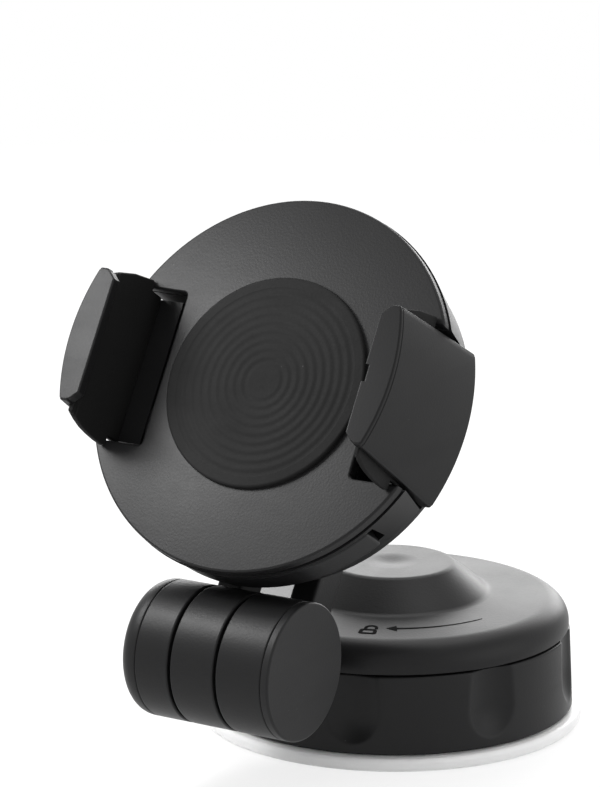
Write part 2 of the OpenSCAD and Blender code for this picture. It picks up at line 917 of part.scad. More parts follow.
module left_jaw() {
    color([0.1, 0.1, 0.1])
        at_cradle()
            rotate([0, 0, 180]) {
                jaw_block();
                difference() {
                    rack();
                    ratchet_cuts();
                }
            }
}

// Curved cover of one clamp, on the right
module clamp() {
    difference() {
        intersection() {
            clamp_form(0, -clamp_back, clamp_front);
            translate([clamp_x - over, 0, 0])
                side_plate([[-clamp_half_back, -clamp_back], [clamp_half_back, -clamp_back],
                    [clamp_half_front, clamp_front], [-clamp_half_front, clamp_front]], disc_r);
        }
        clamp_form(clamp_t, -clamp_back - over, shell_front);
        translate([0, -disc_r, shell_front - over])
            cube([grip_face, 2 * disc_r, grip_front - shell_front + over]);
        translate([0, -disc_r, 0])
            cube([lip_x, 2 * disc_r, clamp_front + over]);
        // Slanted corners of the lip
        for (side = [0, 1])
            mirror([0, side, 0])
                translate([lip_x, clamp_half_front, grip_front])
                    linear_extrude(height = clamp_plate + over)
                        polygon([[-over, -lip_corner - over], [lip_corner + over, over], [-over, over]]);
    }
}

// Rubber pad on the inner face of the right clamp
module grip_pad() {
    grip_h = grip_front - grip_foot;
    head = [for (i = [0 : len(grip_z_shares) - 1])
        [grip_tall * grip_half_shares[i], grip_foot + grip_h * grip_z_shares[i]]];
    upper = concat(head, [[tongue_half, grip_foot], [tongue_half, grip_back]]);
    lower = [for (i = [len(upper) - 1 : -1 : 0]) [-upper[i][0], upper[i][1]]];
    difference() {
        translate([grip_half + grip_t / 2, 0, 0])
            side_plate(concat(upper, lower), grip_t);
        for (share = ridge_shares)
            translate([grip_half - over, -grip_tall - over, grip_foot + grip_h * share])
                cube([over + ridge_depth, 2 * grip_tall + 2 * over, ridge_w]);
    }
}

module right_clamp() {
    color([0.13, 0.13, 0.14])
        at_cradle()
            difference() {
                clamp();
                // Small notch in the lip
                translate([0, -notch_half, grip_front - over])
                    cube([lip_x + notch_depth, 2 * notch_half, clamp_plate + 2 * over]);
            }
}

module left_clamp() {
    color([0.13, 0.13, 0.14])
        at_cradle()
            mirror([1, 0, 0])
                clamp();
}

module right_grip_pad() {
    color([0.05, 0.05, 0.05])
        at_cradle()
            grip_pad();
}

module left_grip_pad() {
    color([0.05, 0.05, 0.05])
        at_cradle()
            mirror([1, 0, 0])
                grip_pad();
}

// Root and tip widths of a pinion tooth mirror the rack's
module pinion() {
    root = pinion_r - tooth_root_share * tooth_h;
    tip = pinion_r + tooth_tip_share * tooth_h;
    color([0.85, 0.85, 0.82])
        at_cradle()
            translate([0, 0, gear_foot])
                linear_extrude(height = gear_t)
                    difference() {
                        union() {
                            circle(r = root);
                            for (i = [0 : pinion_teeth - 1])
                                rotate([0, 0, 90 + 360 * i / pinion_teeth])
                                    polygon([
                                        [root - tooth_h, -pitch * (tooth_half_share + tooth_lean_share)],
                                        [pinion_r, -pitch * tooth_half_share],
                                        [tip, -pitch * (tooth_half_share - tooth_lean_share)],
                                        [tip, pitch * (tooth_half_share - tooth_lean_share)],
                                        [pinion_r, pitch * tooth_half_share],
                                        [root - tooth_h, pitch * (tooth_half_share + tooth_lean_share)]]);
                        }
                        circle(r = post_r + run_play);
                    }
}

module pinion_spring() {
    color([0.78, 0.78, 0.8])
        at_cradle()
            translate([0, 0, gear_foot - seat_play - gear_spring_t])
                tube(post_r + seat_play, pinion_r - tooth_h, gear_spring_t);
}

module release_key() {
    stem_end = pawl_y - pawl_arm - seat_play;
    key_side = disc_r * tan(key_half_angle);
    color([0.1, 0.1, 0.11])
        at_cradle() {
            intersection() {
                translate([0, 0, key_foot])
                    tube(key_in_r, key_out_r, key_top - key_foot);
                translate([0, 0, key_foot - over])
                    linear_extrude(height = key_top - key_foot + 2 * over)
                        polygon([[0, 0], [-key_side, -disc_r], [key_side, -disc_r]]);
            }
            translate([0, 0, stem_foot])
                linear_extrude(height = key_top - stem_foot)
                    polygon([[stem_in, -key_in_r - over], [stem_in + stem_w, -key_in_r - over],
                        [stem_in + stem_w, barb_y], [barb_x, barb_y],
                        [stem_in + stem_w, barb_y + 2 * barb], [stem_in + stem_w, stem_end],
                        [stem_in, stem_end]]);
        }
}

module pawl() {
    nose = [pawl_x - pawl_nose, -rack_back - pawl_nose_gap];
    color([0.75, 0.75, 0.72])
        at_cradle()
            translate([0, 0, gear_foot])
                linear_extrude(height = gear_t)
                    difference() {
                        union() {
                            translate([pawl_x, pawl_y])
                                circle(r = pawl_hub_r);
                            polygon([[pawl_x, pawl_y + pawl_arm], [nose[0] + pawl_arm, nose[1] - pawl_arm / 2],
                                nose, [nose[0] - pawl_arm / 2, nose[1] - pawl_arm],
                                [pawl_x, pawl_y - pawl_arm], [pawl_x + pawl_tail, pawl_y - pawl_arm],
                                [pawl_x + pawl_tail, pawl_y]]);
                        }
                        translate([pawl_x, pawl_y])
                            circle(r = pawl_pin_r + run_play);
                    }
}

module pawl_pin() {
    color([0.7, 0.7, 0.72])
        at_cradle()
            translate([pawl_x, pawl_y, floor_z + over])
                cylinder(r = pawl_pin_r, h = gear_top - floor_z);
}

module pawl_spring() {
    color([0.78, 0.78, 0.8])
        at_cradle()
            translate([pawl_x, pawl_y, gear_foot - seat_play - pawl_spring_t])
                tube(pawl_pin_r + seat_play, pawl_pin_r + seat_play + pawl_spring_wire, pawl_spring_t);
}

gel_pad();
cup_disc();
lift_stud();
cross_pin();
pressure_frame();
lock_ring();
cam_sleeve();
stud_spring();
base_cover();
base_screws();
hinge_bolt();
hinge_nut();
friction_washers();
arm();
left_hinge_cap();
right_hinge_cap();
swivel_ring();
swivel_washer();
swivel_screw();
swivel_cap();
back_shell();
front_plate();
face_pad();
pinion();
pinion_spring();
left_jaw();
right_jaw();
left_clamp();
right_clamp();
left_grip_pad();
right_grip_pad();
release_key();
pawl();
pawl_pin();
pawl_spring();
cradle_screws();
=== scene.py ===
"""Looks of a suction cup holder: twist-lock base, folding arm and round cradle with two sliding clamps.

Lengths inside the shape functions are in millimetres. The cradle's own frame has X across, Y up the device's
back and Z out of the cradle's face; the hinge's frame has the same directions and starts at the hinge axis.
"""
import json
from types import SimpleNamespace

import bmesh
import bpy
import numpy as np
from bpy.props import FloatProperty, FloatVectorProperty, IntProperty, PointerProperty
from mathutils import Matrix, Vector


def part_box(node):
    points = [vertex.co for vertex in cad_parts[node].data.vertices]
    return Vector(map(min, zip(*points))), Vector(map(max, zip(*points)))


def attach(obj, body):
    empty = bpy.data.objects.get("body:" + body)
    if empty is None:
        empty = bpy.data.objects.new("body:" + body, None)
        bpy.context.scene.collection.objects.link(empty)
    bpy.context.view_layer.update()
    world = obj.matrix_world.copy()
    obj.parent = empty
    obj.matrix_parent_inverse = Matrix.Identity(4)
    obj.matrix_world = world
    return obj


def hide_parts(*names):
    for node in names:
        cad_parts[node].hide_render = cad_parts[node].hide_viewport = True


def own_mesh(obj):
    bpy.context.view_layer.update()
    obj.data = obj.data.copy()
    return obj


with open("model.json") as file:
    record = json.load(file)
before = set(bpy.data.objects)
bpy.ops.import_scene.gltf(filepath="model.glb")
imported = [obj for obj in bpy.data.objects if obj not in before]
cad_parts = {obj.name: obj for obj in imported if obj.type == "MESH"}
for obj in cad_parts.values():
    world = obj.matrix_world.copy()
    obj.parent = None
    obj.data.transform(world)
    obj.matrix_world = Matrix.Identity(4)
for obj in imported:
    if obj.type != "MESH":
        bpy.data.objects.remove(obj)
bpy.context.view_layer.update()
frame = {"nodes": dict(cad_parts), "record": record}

bl_info = {
    "name": "Suction cup holder",
    "version": (1, 0, 0),
    "blender": (4, 5, 0),
    "location": "3D View > Sidebar > Holder",
    "description": "Dresses the packed holder with moulded surfaces, materials, light and a camera",
    "category": "Object",
}

MM = 0.001
MOUNTS = {m["name"]: m for m in frame["record"]["mounts"]}
JOINTS = {j["name"]: j for j in frame["record"]["behaviour"]["joints"]}
SEAT = np.array(MOUNTS["device_seat"]["pos_m"]) / MM
OUT = np.array(MOUNTS["device_seat"]["axis"], float)
OUT /= np.linalg.norm(OUT)
ACROSS = np.array([1.0, 0.0, 0.0])
ALONG = np.cross(OUT, ACROSS)
HINGE = np.array(JOINTS["arm_fold"]["pos_m"]) / MM


def box_mm(node):
    """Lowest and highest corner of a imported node, in millimetres."""
    low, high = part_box(node)
    return np.array(low) / MM, np.array(high) / MM


def arc(cx, cy, r, start, end, steps):
    """Points on a circle about (cx, cy) from one angle to another, in degrees."""
    a = np.radians(np.linspace(start, end, steps + 1))
    return np.c_[cx + r * np.cos(a), cy + r * np.sin(a)]


def rounded(corners, steps):
    """Closed outline whose corners (x, y, r) become arcs of radius r that touch both sides; each arc is the blend
    of its two end points by sines, which keeps it on the circle."""
    longest = 0.49  # share of a side that one corner may take
    c = np.array(corners, float)
    p, r = c[:, :2], c[:, 2]
    a = np.roll(p, 1, 0) - p
    b = np.roll(p, -1, 0) - p
    la, lb = np.linalg.norm(a, axis=1), np.linalg.norm(b, axis=1)
    a, b = a / la[:, None], b / lb[:, None]
    half = np.arccos(np.clip((a * b).sum(1), -1, 1)) / 2
    reach = np.minimum(r / np.tan(half), longest * np.minimum(la, lb))
    r = reach * np.tan(half)
    middle = a + b
    middle /= np.linalg.norm(middle, axis=1)[:, None]
    centre = p + middle * (r / np.sin(half))[:, None]
    start, end = p + a * reach[:, None] - centre, p + b * reach[:, None] - centre
    t = np.linspace(0, 1, steps + 1)[None, :, None]
    w = (np.pi - 2 * half)[:, None, None]
    points = centre[:, None] + (np.sin((1 - t) * w) * start[:, None] + np.sin(t * w) * end[:, None]) / np.sin(w)
    return points.reshape(-1, 2)


def inset(outline, d):
    """Outline moved inwards by d along the middle of its two edge normals, lengthened at corners."""
    sharpest = 0.2  # least cosine that a corner is lengthened by
    e = np.roll(outline, -1, 0) - outline
    e /= np.linalg.norm(e, axis=1)[:, None]
    area = np.sum(outline[:, 0] * np.roll(outline[:, 1], -1) - outline[:, 1] * np.roll(outline[:, 0], -1))
    n = np.c_[-e[:, 1], e[:, 0]] * np.sign(area)
    m = n + np.roll(n, 1, 0)
    m /= np.maximum((m * n).sum(1), sharpest)[:, None]
    return outline + m * d


def level(outline, height):
    """Flat outline (N, 2) lifted to a height."""
    return np.c_[outline, np.full(len(outline), height)]


def edge_steps(low, high, edge, steps=4):
    """Heights and insets of a wall with a quarter-round edge at each end."""
    a = np.linspace(0, np.pi / 2, steps + 1)
    z = np.r_[low + edge * (1 - np.cos(a)), high - edge * (1 - np.cos(a[::-1]))]
    d = np.r_[edge * (1 - np.sin(a)), edge * (1 - np.sin(a[::-1]))]
    return z, d


def grid_faces(rows, columns, close_rows):
    """Quads of a grid whose columns close, as one array of vertex numbers."""
    i = np.arange(rows if close_rows else rows - 1)[:, None]
    j = np.arange(columns)[None, :]
    k, l = (i + 1) % rows, (j + 1) % columns
    return np.stack([i * columns + j, i * columns + l, k * columns + l, k * columns + j], -1).reshape(-1, 4)


def outward(points, faces):
    """Faces turned so that the signed volume under their fans is positive."""
    total = 0.0
    for f in faces:
        v = points[list(f)]
        total += np.einsum("ij,ij->", np.cross(v[1:-1], v[2:]), np.broadcast_to(v[0], v[1:-1].shape))
    return faces if total > 0 else [tuple(f)[::-1] for f in faces]


def loft(loops, close=False):
    """Skin over closed loops (S, N, 3), with a flat face on the first and last loop, or joined round."""
    loops = np.asarray(loops, float)
    s, n = loops.shape[:2]
    points = loops.reshape(-1, 3)
    faces = [tuple(f) for f in grid_faces(s, n, close)]
    if not close:
        faces += [tuple(range(n))[::-1], tuple(range((s - 1) * n, s * n))]
    return points, outward(points, faces)


def turned(profile, steps, axis="z", centre=(0, 0, 0)):
    """Closed profile of (radius, height) turned a full turn about an axis through centre."""
    a = np.linspace(0, 2 * np.pi, steps, endpoint=False)
    r, h = np.asarray(profile, float).T
    x, y = np.outer(r, np.cos(a)), np.outer(r, np.sin(a))
    z = np.repeat(h[:, None], steps, 1)
    return loft(np.stack([x, y, z] if axis == "z" else [z, x, y], -1) + np.array(centre), close=True)


def band(r_in, r_out, low, high, steps, centre=(0, 0, 0)):
    """Upright tube with square edges, or a rod where r_in is 0."""
    return turned([[r_in, low], [r_out, low], [r_out, high], [r_in, high]], steps, centre=centre)


def prism(outline, low, high, edge):
    """Outline raised from low to high, with quarter-round edges: at each height it is inset by what the round
    edge takes off."""
    z, d = edge_steps(low, high, edge)
    return loft([level(inset(outline, k), h) for h, k in zip(z, d)])


def sector(r_in, r_out, low, high, start, end, edge):
    """Ring segment prism between two angles, in degrees."""
    outline = np.r_[arc(0, 0, r_out, start, end, 24), arc(0, 0, r_in, end, start, 24)]
    return prism(outline, low, high, edge)


def moved(part, place):
    """Part with its points sent through a function of (N, 3) points."""
    points, faces = part
    new = place(points)
    return new, outward(new, faces)


def at_cradle(p):
    """Points of the cradle's frame in the row frame."""
    return SEAT + np.outer(p[:, 0], ACROSS) + np.outer(p[:, 1], ALONG) + np.outer(p[:, 2], OUT)


def at_hinge(p):
    """Points of the hinge's frame in the row frame."""
    return HINGE + np.outer(p[:, 0], ACROSS) + np.outer(p[:, 1], ALONG) + np.outer(p[:, 2], OUT)


def side_on(p):
    """Prism of a (Y, Z) outline laid on its side, so that its height runs along X."""
    return p[:, [2, 0, 1]]


def placed(name, data):
    """New object of the data, in the scene."""
    item = bpy.data.objects.new(name, data)
    bpy.context.scene.collection.objects.link(item)
    return item


def solid(name, parts, body, nodes, look):
    """One object from closed parts, welded, smooth where faces meet at less than the crease angle; normals follow the
    larger faces, so a flat face beside a rounded edge stays evenly lit. The look's finish becomes its material."""
    weld, crease = 2e-7, 34.0
    points, faces, start = [], [], 0
    for part_points, part_faces in parts:
        points.append(part_points)
        faces += [tuple(int(i) + start for i in f) for f in part_faces]
        start += len(part_points)
    mesh = bpy.data.meshes.new(name)
    mesh.from_pydata((np.concatenate(points) * MM).tolist(), [], faces)
    bm = bmesh.new()
    bm.from_mesh(mesh)
    bmesh.ops.remove_doubles(bm, verts=bm.verts, dist=weld)
    bm.to_mesh(mesh)
    bm.free()
    mesh.validate()
    mesh.shade_smooth()
    mesh.set_sharp_from_angle(angle=np.radians(crease))
    mesh.materials.append(finish(look))
    piece = placed(name, mesh)
    piece.modifiers.new("Flat faces stay flat", "WEIGHTED_NORMAL").keep_sharp = True
    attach(piece, body)
    if nodes:
        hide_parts(*nodes)
    return piece


def feed(tree, node, inputs):
    """Links a node's inputs to sockets, or sets them to values; the keys are names or numbers."""
    for key, value in inputs.items():
        if hasattr(value, "is_linked"):
            tree.links.new(value, node.inputs[key])
        else:
            node.inputs[key].default_value = value


def new_node(tree, kind, inputs, **settings):
    """Node with its settings and its fed inputs."""
    node = tree.nodes.new(kind)
    for key, value in settings.items():
        setattr(node, key, value)
    feed(tree, node, inputs)
    return node


def new_group(name, inputs, outputs):
    """Empty shader group with a vector or float input for each default, and float outputs."""
    group = bpy.data.node_groups.new(name, "ShaderNodeTree")
    for label, default in inputs.items():
        kind = "NodeSocketVector" if isinstance(default, tuple) else "NodeSocketFloat"
        group.interface.new_socket(label, in_out="INPUT", socket_type=kind).default_value = default
    for label in outputs:
        group.interface.new_socket(label, in_out="OUTPUT", socket_type="NodeSocketFloat")
    return group, group.nodes.new("NodeGroupInput").outputs, group.nodes.new("NodeGroupOutput")


def math_node(tree, operation, first, second, clamp=False):
    """Result of a math node on sockets or numbers."""
    return new_node(tree, "ShaderNodeMath", {0: first, 1: second}, operation=operation, use_clamp=clamp).outputs[0]


def noise_node(tree, place, scale, detail=3.0, rough=0.5):
    """Noise on the given coordinates; scale is a socket or a number."""
    inputs = {"Vector": place, "Scale": scale, "Detail": detail, "Roughness": rough}
    return new_node(tree, "ShaderNodeTexNoise", inputs).outputs["Fac"]


def stretched(tree, place, scale):
    """Coordinates scaled along each axis."""
    return new_node(tree, "ShaderNodeMapping", {"Vector": place, "Scale": scale}).outputs["Vector"]


def grain_group():
    """Spark-eroded mould grain: fine cells and finer noise make a height, and the same noise moves the gloss."""
    if "Mould grain" in bpy.data.node_groups:
        return bpy.data.node_groups["Mould grain"]
    group, start, end = new_group(
        "Mould grain", {"Place": (0, 0, 0), "Scale": 2600.0, "Gloss spread": 0.1, "Roughness": 0.5},
        ["Height", "Roughness"])
    finer, cell_share = 1.7, 0.6
    cells = new_node(group, "ShaderNodeTexVoronoi",
                     {"Vector": start["Place"], "Scale": start["Scale"], "Smoothness": 0.6}, feature="SMOOTH_F1")
    fine = noise_node(group, start["Place"], math_node(group, "MULTIPLY", start["Scale"], finer), 4.0, 0.6)
    height = math_node(group, "ADD", math_node(group, "MULTIPLY", cells.outputs["Distance"], cell_share),
                       math_node(group, "MULTIPLY", fine, 1 - cell_share))
    wide = noise_node(group, start["Place"], 55.0, 4.0, 0.55)
    total = start["Roughness"]
    for noise, last in ((wide, False), (fine, True)):
        shift = math_node(group, "MULTIPLY", math_node(group, "SUBTRACT", noise, 0.5), start["Gloss spread"])
        total = math_node(group, "ADD", total, shift, clamp=last)
    feed(group, end, {"Height": height, "Roughness": total})
    return group


def dust_group():
    """Dust and handling: sparse specks and faint wiped streaks as two masks from 0 to 1."""
    if "Dust and wipes" in bpy.data.node_groups:
        return bpy.data.node_groups["Dust and wipes"]
    group, start, end = new_group(
        "Dust and wipes", {"Place": (0, 0, 0), "Specks": 0.5, "Streaks": 0.5}, ["Specks", "Streaks"])
    speck_size, bare_share, contrast = 0.045, 0.6, 2.4
    place = start["Place"]
    cells = new_node(group, "ShaderNodeTexVoronoi", {"Vector": place, "Scale": 420.0})
    near = math_node(group, "LESS_THAN", cells.outputs["Distance"], speck_size)
    few = math_node(group, "GREATER_THAN", noise_node(group, place, 90.0, 2.0), bare_share)
    specks = math_node(group, "MULTIPLY", math_node(group, "MULTIPLY", near, few), start["Specks"])
    wiped = noise_node(group, stretched(group, place, (1.0, 0.25, 4.0)), 70.0, 5.0, 0.6)
    shape = math_node(group, "MULTIPLY", math_node(group, "SUBTRACT", wiped, 0.5), contrast, clamp=True)
    feed(group, end, {"Specks": specks, "Streaks": math_node(group, "MULTIPLY", shape, start["Streaks"])})
    return group


def seen_rays(tree):
    """Mask that is 1 for camera, glossy and transmission rays, which see the background, and 0 for light."""
    path = tree.nodes.new("ShaderNodeLightPath")
    seen = math_node(tree, "MAXIMUM", path.outputs["Is Camera Ray"], path.outputs["Is Transmission Ray"])
    return math_node(tree, "MAXIMUM", seen, path.outputs["Is Glossy Ray"])


def blend_colour(tree, fac, first, second):
    """Mix of two colours by a mask; colours are sockets or tuples."""
    colour_a, colour_b, result = 6, 7, 2  # the colour sockets of a mix node
    pair = [(*value, 1.0) if isinstance(value, tuple) else value for value in (first, second)]
    inputs = {"Factor": fac, colour_a: pair[0], colour_b: pair[1]}
    return new_node(tree, "ShaderNodeMix", inputs, data_type="RGBA").outputs[result]


def new_material(name):
    """Material with its tree, its shader and the object's own coordinates."""
    material = bpy.data.materials.new(name)
    material.use_nodes = True
    tree = material.node_tree
    return material, tree, tree.nodes["Principled BSDF"], tree.nodes.new("ShaderNodeTexCoord").outputs["Object"]


def add_relief(tree, shader, height, strength, depth):
    """Bump from a height mask; its depth is in millimetres."""
    bump = new_node(tree, "ShaderNodeBump", {"Strength": strength, "Distance": depth * MM, "Height": height})
    feed(tree, shader, {"Normal": bump.outputs["Normal"]})


def add_gloss(tree, shader, base, mask, spread):
    """Roughness that rises from its base by a share of a mask."""
    rise = math_node(tree, "MULTIPLY", mask, spread)
    feed(tree, shader, {"Roughness": math_node(tree, "ADD", base, rise, clamp=True)})


def tinted(colour, share):
    """Colour times a share, at most white."""
    return tuple(min(c * share, 1.0) for c in colour)


def moulded(name, colour, roughness, scale, depth, spread=0.12, specks=0.5, dust=(0.07, 0.07, 0.07), specular=0.18):
    """Moulded plastic or rubber: mould grain as bump, its gloss shifts, colour clouds, dust specks and wipes."""
    material, tree, shader, place = new_material(name)
    grain = new_node(tree, "ShaderNodeGroup", {
        "Place": place, "Scale": scale, "Gloss spread": spread, "Roughness": roughness}, node_tree=grain_group())
    dusty = new_node(tree, "ShaderNodeGroup", {"Place": place, "Specks": specks, "Streaks": 0.5},
                     node_tree=dust_group())
    base = blend_colour(tree, noise_node(tree, place, 38.0, 4.0, 0.6), tinted(colour, 0.82), tinted(colour, 1.2))
    feed(tree, shader, {"Base Color": blend_colour(tree, dusty.outputs["Specks"], base, dust),
                        "Specular IOR Level": specular})
    add_gloss(tree, shader, grain.outputs["Roughness"], dusty.outputs["Streaks"], 0.12)
    add_relief(tree, shader, grain.outputs["Height"], 0.35, depth)
    return material


def brushed(name, colour, roughness):
    """Steel with fine turning lines: noise stretched along one way moves the gloss, the colour and the bump."""
    material, tree, shader, place = new_material(name)
    lines = noise_node(tree, stretched(tree, place, (1.0, 14.0, 1.0)), 520.0, 4.0, 0.6)
    stain = noise_node(tree, place, 160.0)
    feed(tree, shader, {"Base Color": blend_colour(tree, stain, tinted(colour, 0.8), colour), "Metallic": 1.0})
    add_gloss(tree, shader, roughness - 0.08, lines, 0.16)
    add_relief(tree, shader, lines, 0.2, 0.02)
    return material


def soft_gel(name, colour, roughness, transmission):
    """Clear soft gel: partly let-through light, faint clouds in the tint, a slightly tacky uneven gloss."""
    material, tree, shader, place = new_material(name)
    clouds = noise_node(tree, place, 120.0, 4.0, 0.6)
    feed(tree, shader, {"Base Color": blend_colour(tree, clouds, tinted(colour, 0.93), colour),
                        "Transmission Weight": transmission, "IOR": 1.41})
    add_gloss(tree, shader, roughness - 0.04, clouds, 0.1)
    add_relief(tree, shader, noise_node(tree, place, 300.0), 0.1, 0.05)
    return material


PLAIN_LOOKS = {"black_plastic": "shell", "black_rubber": "rubber", "steel": "steel", "pale_plastic": "pale",
               "clear_gel": "gel"}  # the usual finish of each material slot


def finish(key):
    """Material of one finish, made on first use from the colours in the panel."""
    look = bpy.context.scene.holder_finish
    black = look.black[:]
    make, name, values, extra = {  # moulded: colour, roughness, grain per metre, depth in millimetres
        "shell": (moulded, "Satin black shell", (black, look.shell_gloss, 2300.0, 0.05), {}),
        "ring": (moulded, "Twist ring black", (black, look.ring_gloss, 2600.0, 0.04), {}),
        "clamp": (moulded, "Clamp black", (black, look.clamp_gloss, 2600.0, 0.035),
                  {"specks": 0.35, "specular": 0.14}),
        "cap": (moulded, "Hinge cap black", (tinted(black, 1.25), 0.46, 2600.0, 0.04), {}),
        "mark": (moulded, "Matt moulded mark", (tinted(black, 0.25), 0.95, 3000.0, 0.03),
                 {"specks": 0.1, "specular": 0.1}),
        "rubber": (moulded, "Black rubber", (look.rubber[:], 0.74, 1500.0, 0.07),
                   {"spread": 0.16, "specks": 0.9, "dust": (0.05, 0.05, 0.05), "specular": 0.16}),
        "pale": (moulded, "Pale gear plastic", (look.pale[:], 0.38, 1800.0, 0.02),
                 {"specks": 0.2, "dust": (0.5, 0.5, 0.47), "specular": 0.5}),
        "steel": (brushed, "Plated steel", (look.steel[:], 0.32), {}),
        "gel": (soft_gel, "Clear gel", (look.gel[:], 0.34, 0.35), {}),
    }[key]
    return bpy.data.materials.get(name) or make(name, *values, **extra)


class HolderBaseSizes(bpy.types.PropertyGroup):
    """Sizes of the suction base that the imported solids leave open."""
    ring_edge: FloatProperty(
        name="Ring edge", description="Rounding of the twist ring's edges", default=0.0004, unit="LENGTH")
    flute_blend: FloatProperty(
        name="Flute blend", description="Softness where a flute meets the ring's wall", default=0.00014,
        unit="LENGTH")
    flutes: IntProperty(name="Flutes", description="Number of finger flutes round the ring", default=8, min=3)
    first_flute: FloatProperty(name="First flute", description="Angle of the first flute, in degrees", default=18.8)
    pad_edge: FloatProperty(
        name="Pad edge", description="Rounding of the gel pad's rim", default=0.0009, unit="LENGTH")
    mark_height: FloatProperty(
        name="Mark height", description="Height of the arrow and the lock mark", default=0.00006, unit="LENGTH")


class HolderCradleSizes(bpy.types.PropertyGroup):
    """Roundings of the arm, cradle and clamps."""
    shell_edge: FloatProperty(
        name="Shell edge", description="Rounding of the cradle's edges at the seam", default=0.00045, unit="LENGTH")
    clamp_edge: FloatProperty(
        name="Clamp edge", description="Rounding of the clamps' edges", default=0.00035, unit="LENGTH")
    arm_edge: FloatProperty(name="Arm edge", description="Rounding of the arm's edges", default=0.0008, unit="LENGTH")
    pad_edge: FloatProperty(
        name="Grip pad edge", description="Rounding of the rubber pads' edges", default=0.00035, unit="LENGTH")


class HolderFinish(bpy.types.PropertyGroup):
    """Colours and gloss of the holder's finishes."""
    black: FloatVectorProperty(
        name="Black plastic", description="Colour of the black mouldings", subtype="COLOR", size=3,
        default=(0.0075, 0.0075, 0.0078), min=0, max=1)
    rubber: FloatVectorProperty(
        name="Rubber", description="Colour of the rubber pads", subtype="COLOR", size=3,
        default=(0.0055, 0.0055, 0.0055), min=0, max=1)
    pale: FloatVectorProperty(
        name="Pale plastic", description="Colour of the gear and the pawl", subtype="COLOR", size=3,
        default=(0.74, 0.73, 0.68), min=0, max=1)
    steel: FloatVectorProperty(
        name="Steel", description="Colour of screws, pins and springs", subtype="COLOR", size=3,
        default=(0.62, 0.62, 0.63), min=0, max=1)
    gel: FloatVectorProperty(
        name="Gel", description="Tint of the clear pad", subtype="COLOR", size=3, default=(0.99, 0.99, 0.99), min=0,
        max=1)
    shell_gloss: FloatProperty(
        name="Shell roughness", description="Roughness of the cradle and the cover", default=0.42, min=0, max=1)
    ring_gloss: FloatProperty(
        name="Ring roughness", description="Roughness of the twist ring", default=0.4, min=0, max=1)
    clamp_gloss: FloatProperty(
        name="Clamp roughness", description="Roughness of the clamps", default=0.46, min=0, max=1)


class HolderStage(bpy.types.PropertyGroup):
    """Floor, light and camera."""
    floor: FloatVectorProperty(
        name="Floor", description="Colour of the floor", subtype="COLOR", size=3, default=(0.93, 0.93, 0.93), min=0,
        max=1)
    floor_white: FloatProperty(
        name="Floor white", description="Share of plain white that the floor shows to the camera and in reflections",
        default=0.75, min=0, max=1)
    fade_start: FloatProperty(
        name="Fade start", description="Distance from the base at which the floor starts to turn plain white",
        default=0.16, unit="LENGTH", min=0)
    sky: FloatProperty(name="Sky", description="Strength of the even light from all round", default=0.85, min=0)
    top_lamp: FloatProperty(name="Top lamp", description="Power of the soft lamp above", default=5.0, min=0)
    back_lamp: FloatProperty(name="Back lamp", description="Power of the soft lamp behind", default=10.0, min=0)
    left_lamp: FloatProperty(
        name="Left lamp", description="Power of the small soft lamp at the front left", default=0.17, min=0)
    rim_lamp: FloatProperty(
        name="Rim lamp", description="Power of the low lamp behind that lights the right edges", default=0.16, min=0)
    right_lamp: FloatProperty(
        name="Right lamp", description="Power of the weak lamp at the right", default=0.35, min=0)
    lens: FloatProperty(name="Lens", description="Focal length in millimetres", default=173.6, min=1)


def gel_pad_part(edge):
    """Flat disc whose rim is a quarter circle above and below, with a raised bead just inside it."""
    bead, dip = 1.6, 0.06
    r, _, h = box_mm("gel_pad")[1]
    rim = np.r_[arc(r - edge, edge, edge, -90, 0, 6), arc(r - edge, h - edge, edge, 0, 90, 6)]
    return turned(np.r_[[[0, 0.0]], rim, [[r - bead, h - dip], [0, h - dip]]], 160)


def ring_part(edge, blend, flutes, first):
    """Twist ring. Wall radius falls evenly with height; a flute is the near side of an upright cylinder with a
    round foot, r = c cos(a) - sqrt(q^2 - c^2 sin(a)^2), and the smooth smaller of the two is the surface."""
    taper, thick, bevel = 0.7, 4.2, 0.25
    flute_r, depth, rise = 10.4, 2.0, 1.7
    columns, rows, edge_rows, far = 60, 44, 5, 9
    low, high = box_mm("lock_ring")
    foot_r, z0, z1 = high[0], low[2], high[2]
    top_r, inner = foot_r - taper, foot_r - thick
    centre = foot_r + flute_r - depth
    ball = z0 + rise + np.sqrt(2 * flute_r * depth - depth * depth)
    a = np.radians(np.linspace(0, 360, columns * flutes, endpoint=False))
    off = (a - np.radians(first) + np.pi / flutes) % (2 * np.pi / flutes) - np.pi / flutes
    ez, ed = edge_steps(z0, z1, edge, edge_rows)
    wall_z = np.linspace(z0 + edge, z1 - edge, rows + 2)[1:-1]
    z = np.insert(ez, edge_rows + 1, wall_z)
    d = np.insert(ed, edge_rows + 1, np.zeros(rows))
    wall = (foot_r + (top_r - foot_r) * (z - z0) / (z1 - z0))[:, None]
    q2 = flute_r ** 2 - np.maximum(0, ball - z)[:, None] ** 2
    inside = q2 - (centre * np.sin(off)) ** 2
    near = centre * np.cos(off) - np.sqrt(np.maximum(inside, 0))
    hollow = np.where(inside > 0, near, wall + far)
    h = np.maximum(blend - np.abs(wall - hollow), 0) / blend
    outer = np.minimum(wall, hollow) - h * h * blend / 4 - d[:, None]
    inner_r = np.array([inner + bevel, inner, inner, inner + bevel])
    r = np.r_[outer, np.repeat(inner_r[:, None], len(a), 1)]
    zz = np.repeat(np.r_[z, z1, z1 - bevel, z0 + bevel, z0][:, None], len(a), 1)
    return loft(np.stack([r * np.cos(a), r * np.sin(a), zz], -1), close=True)


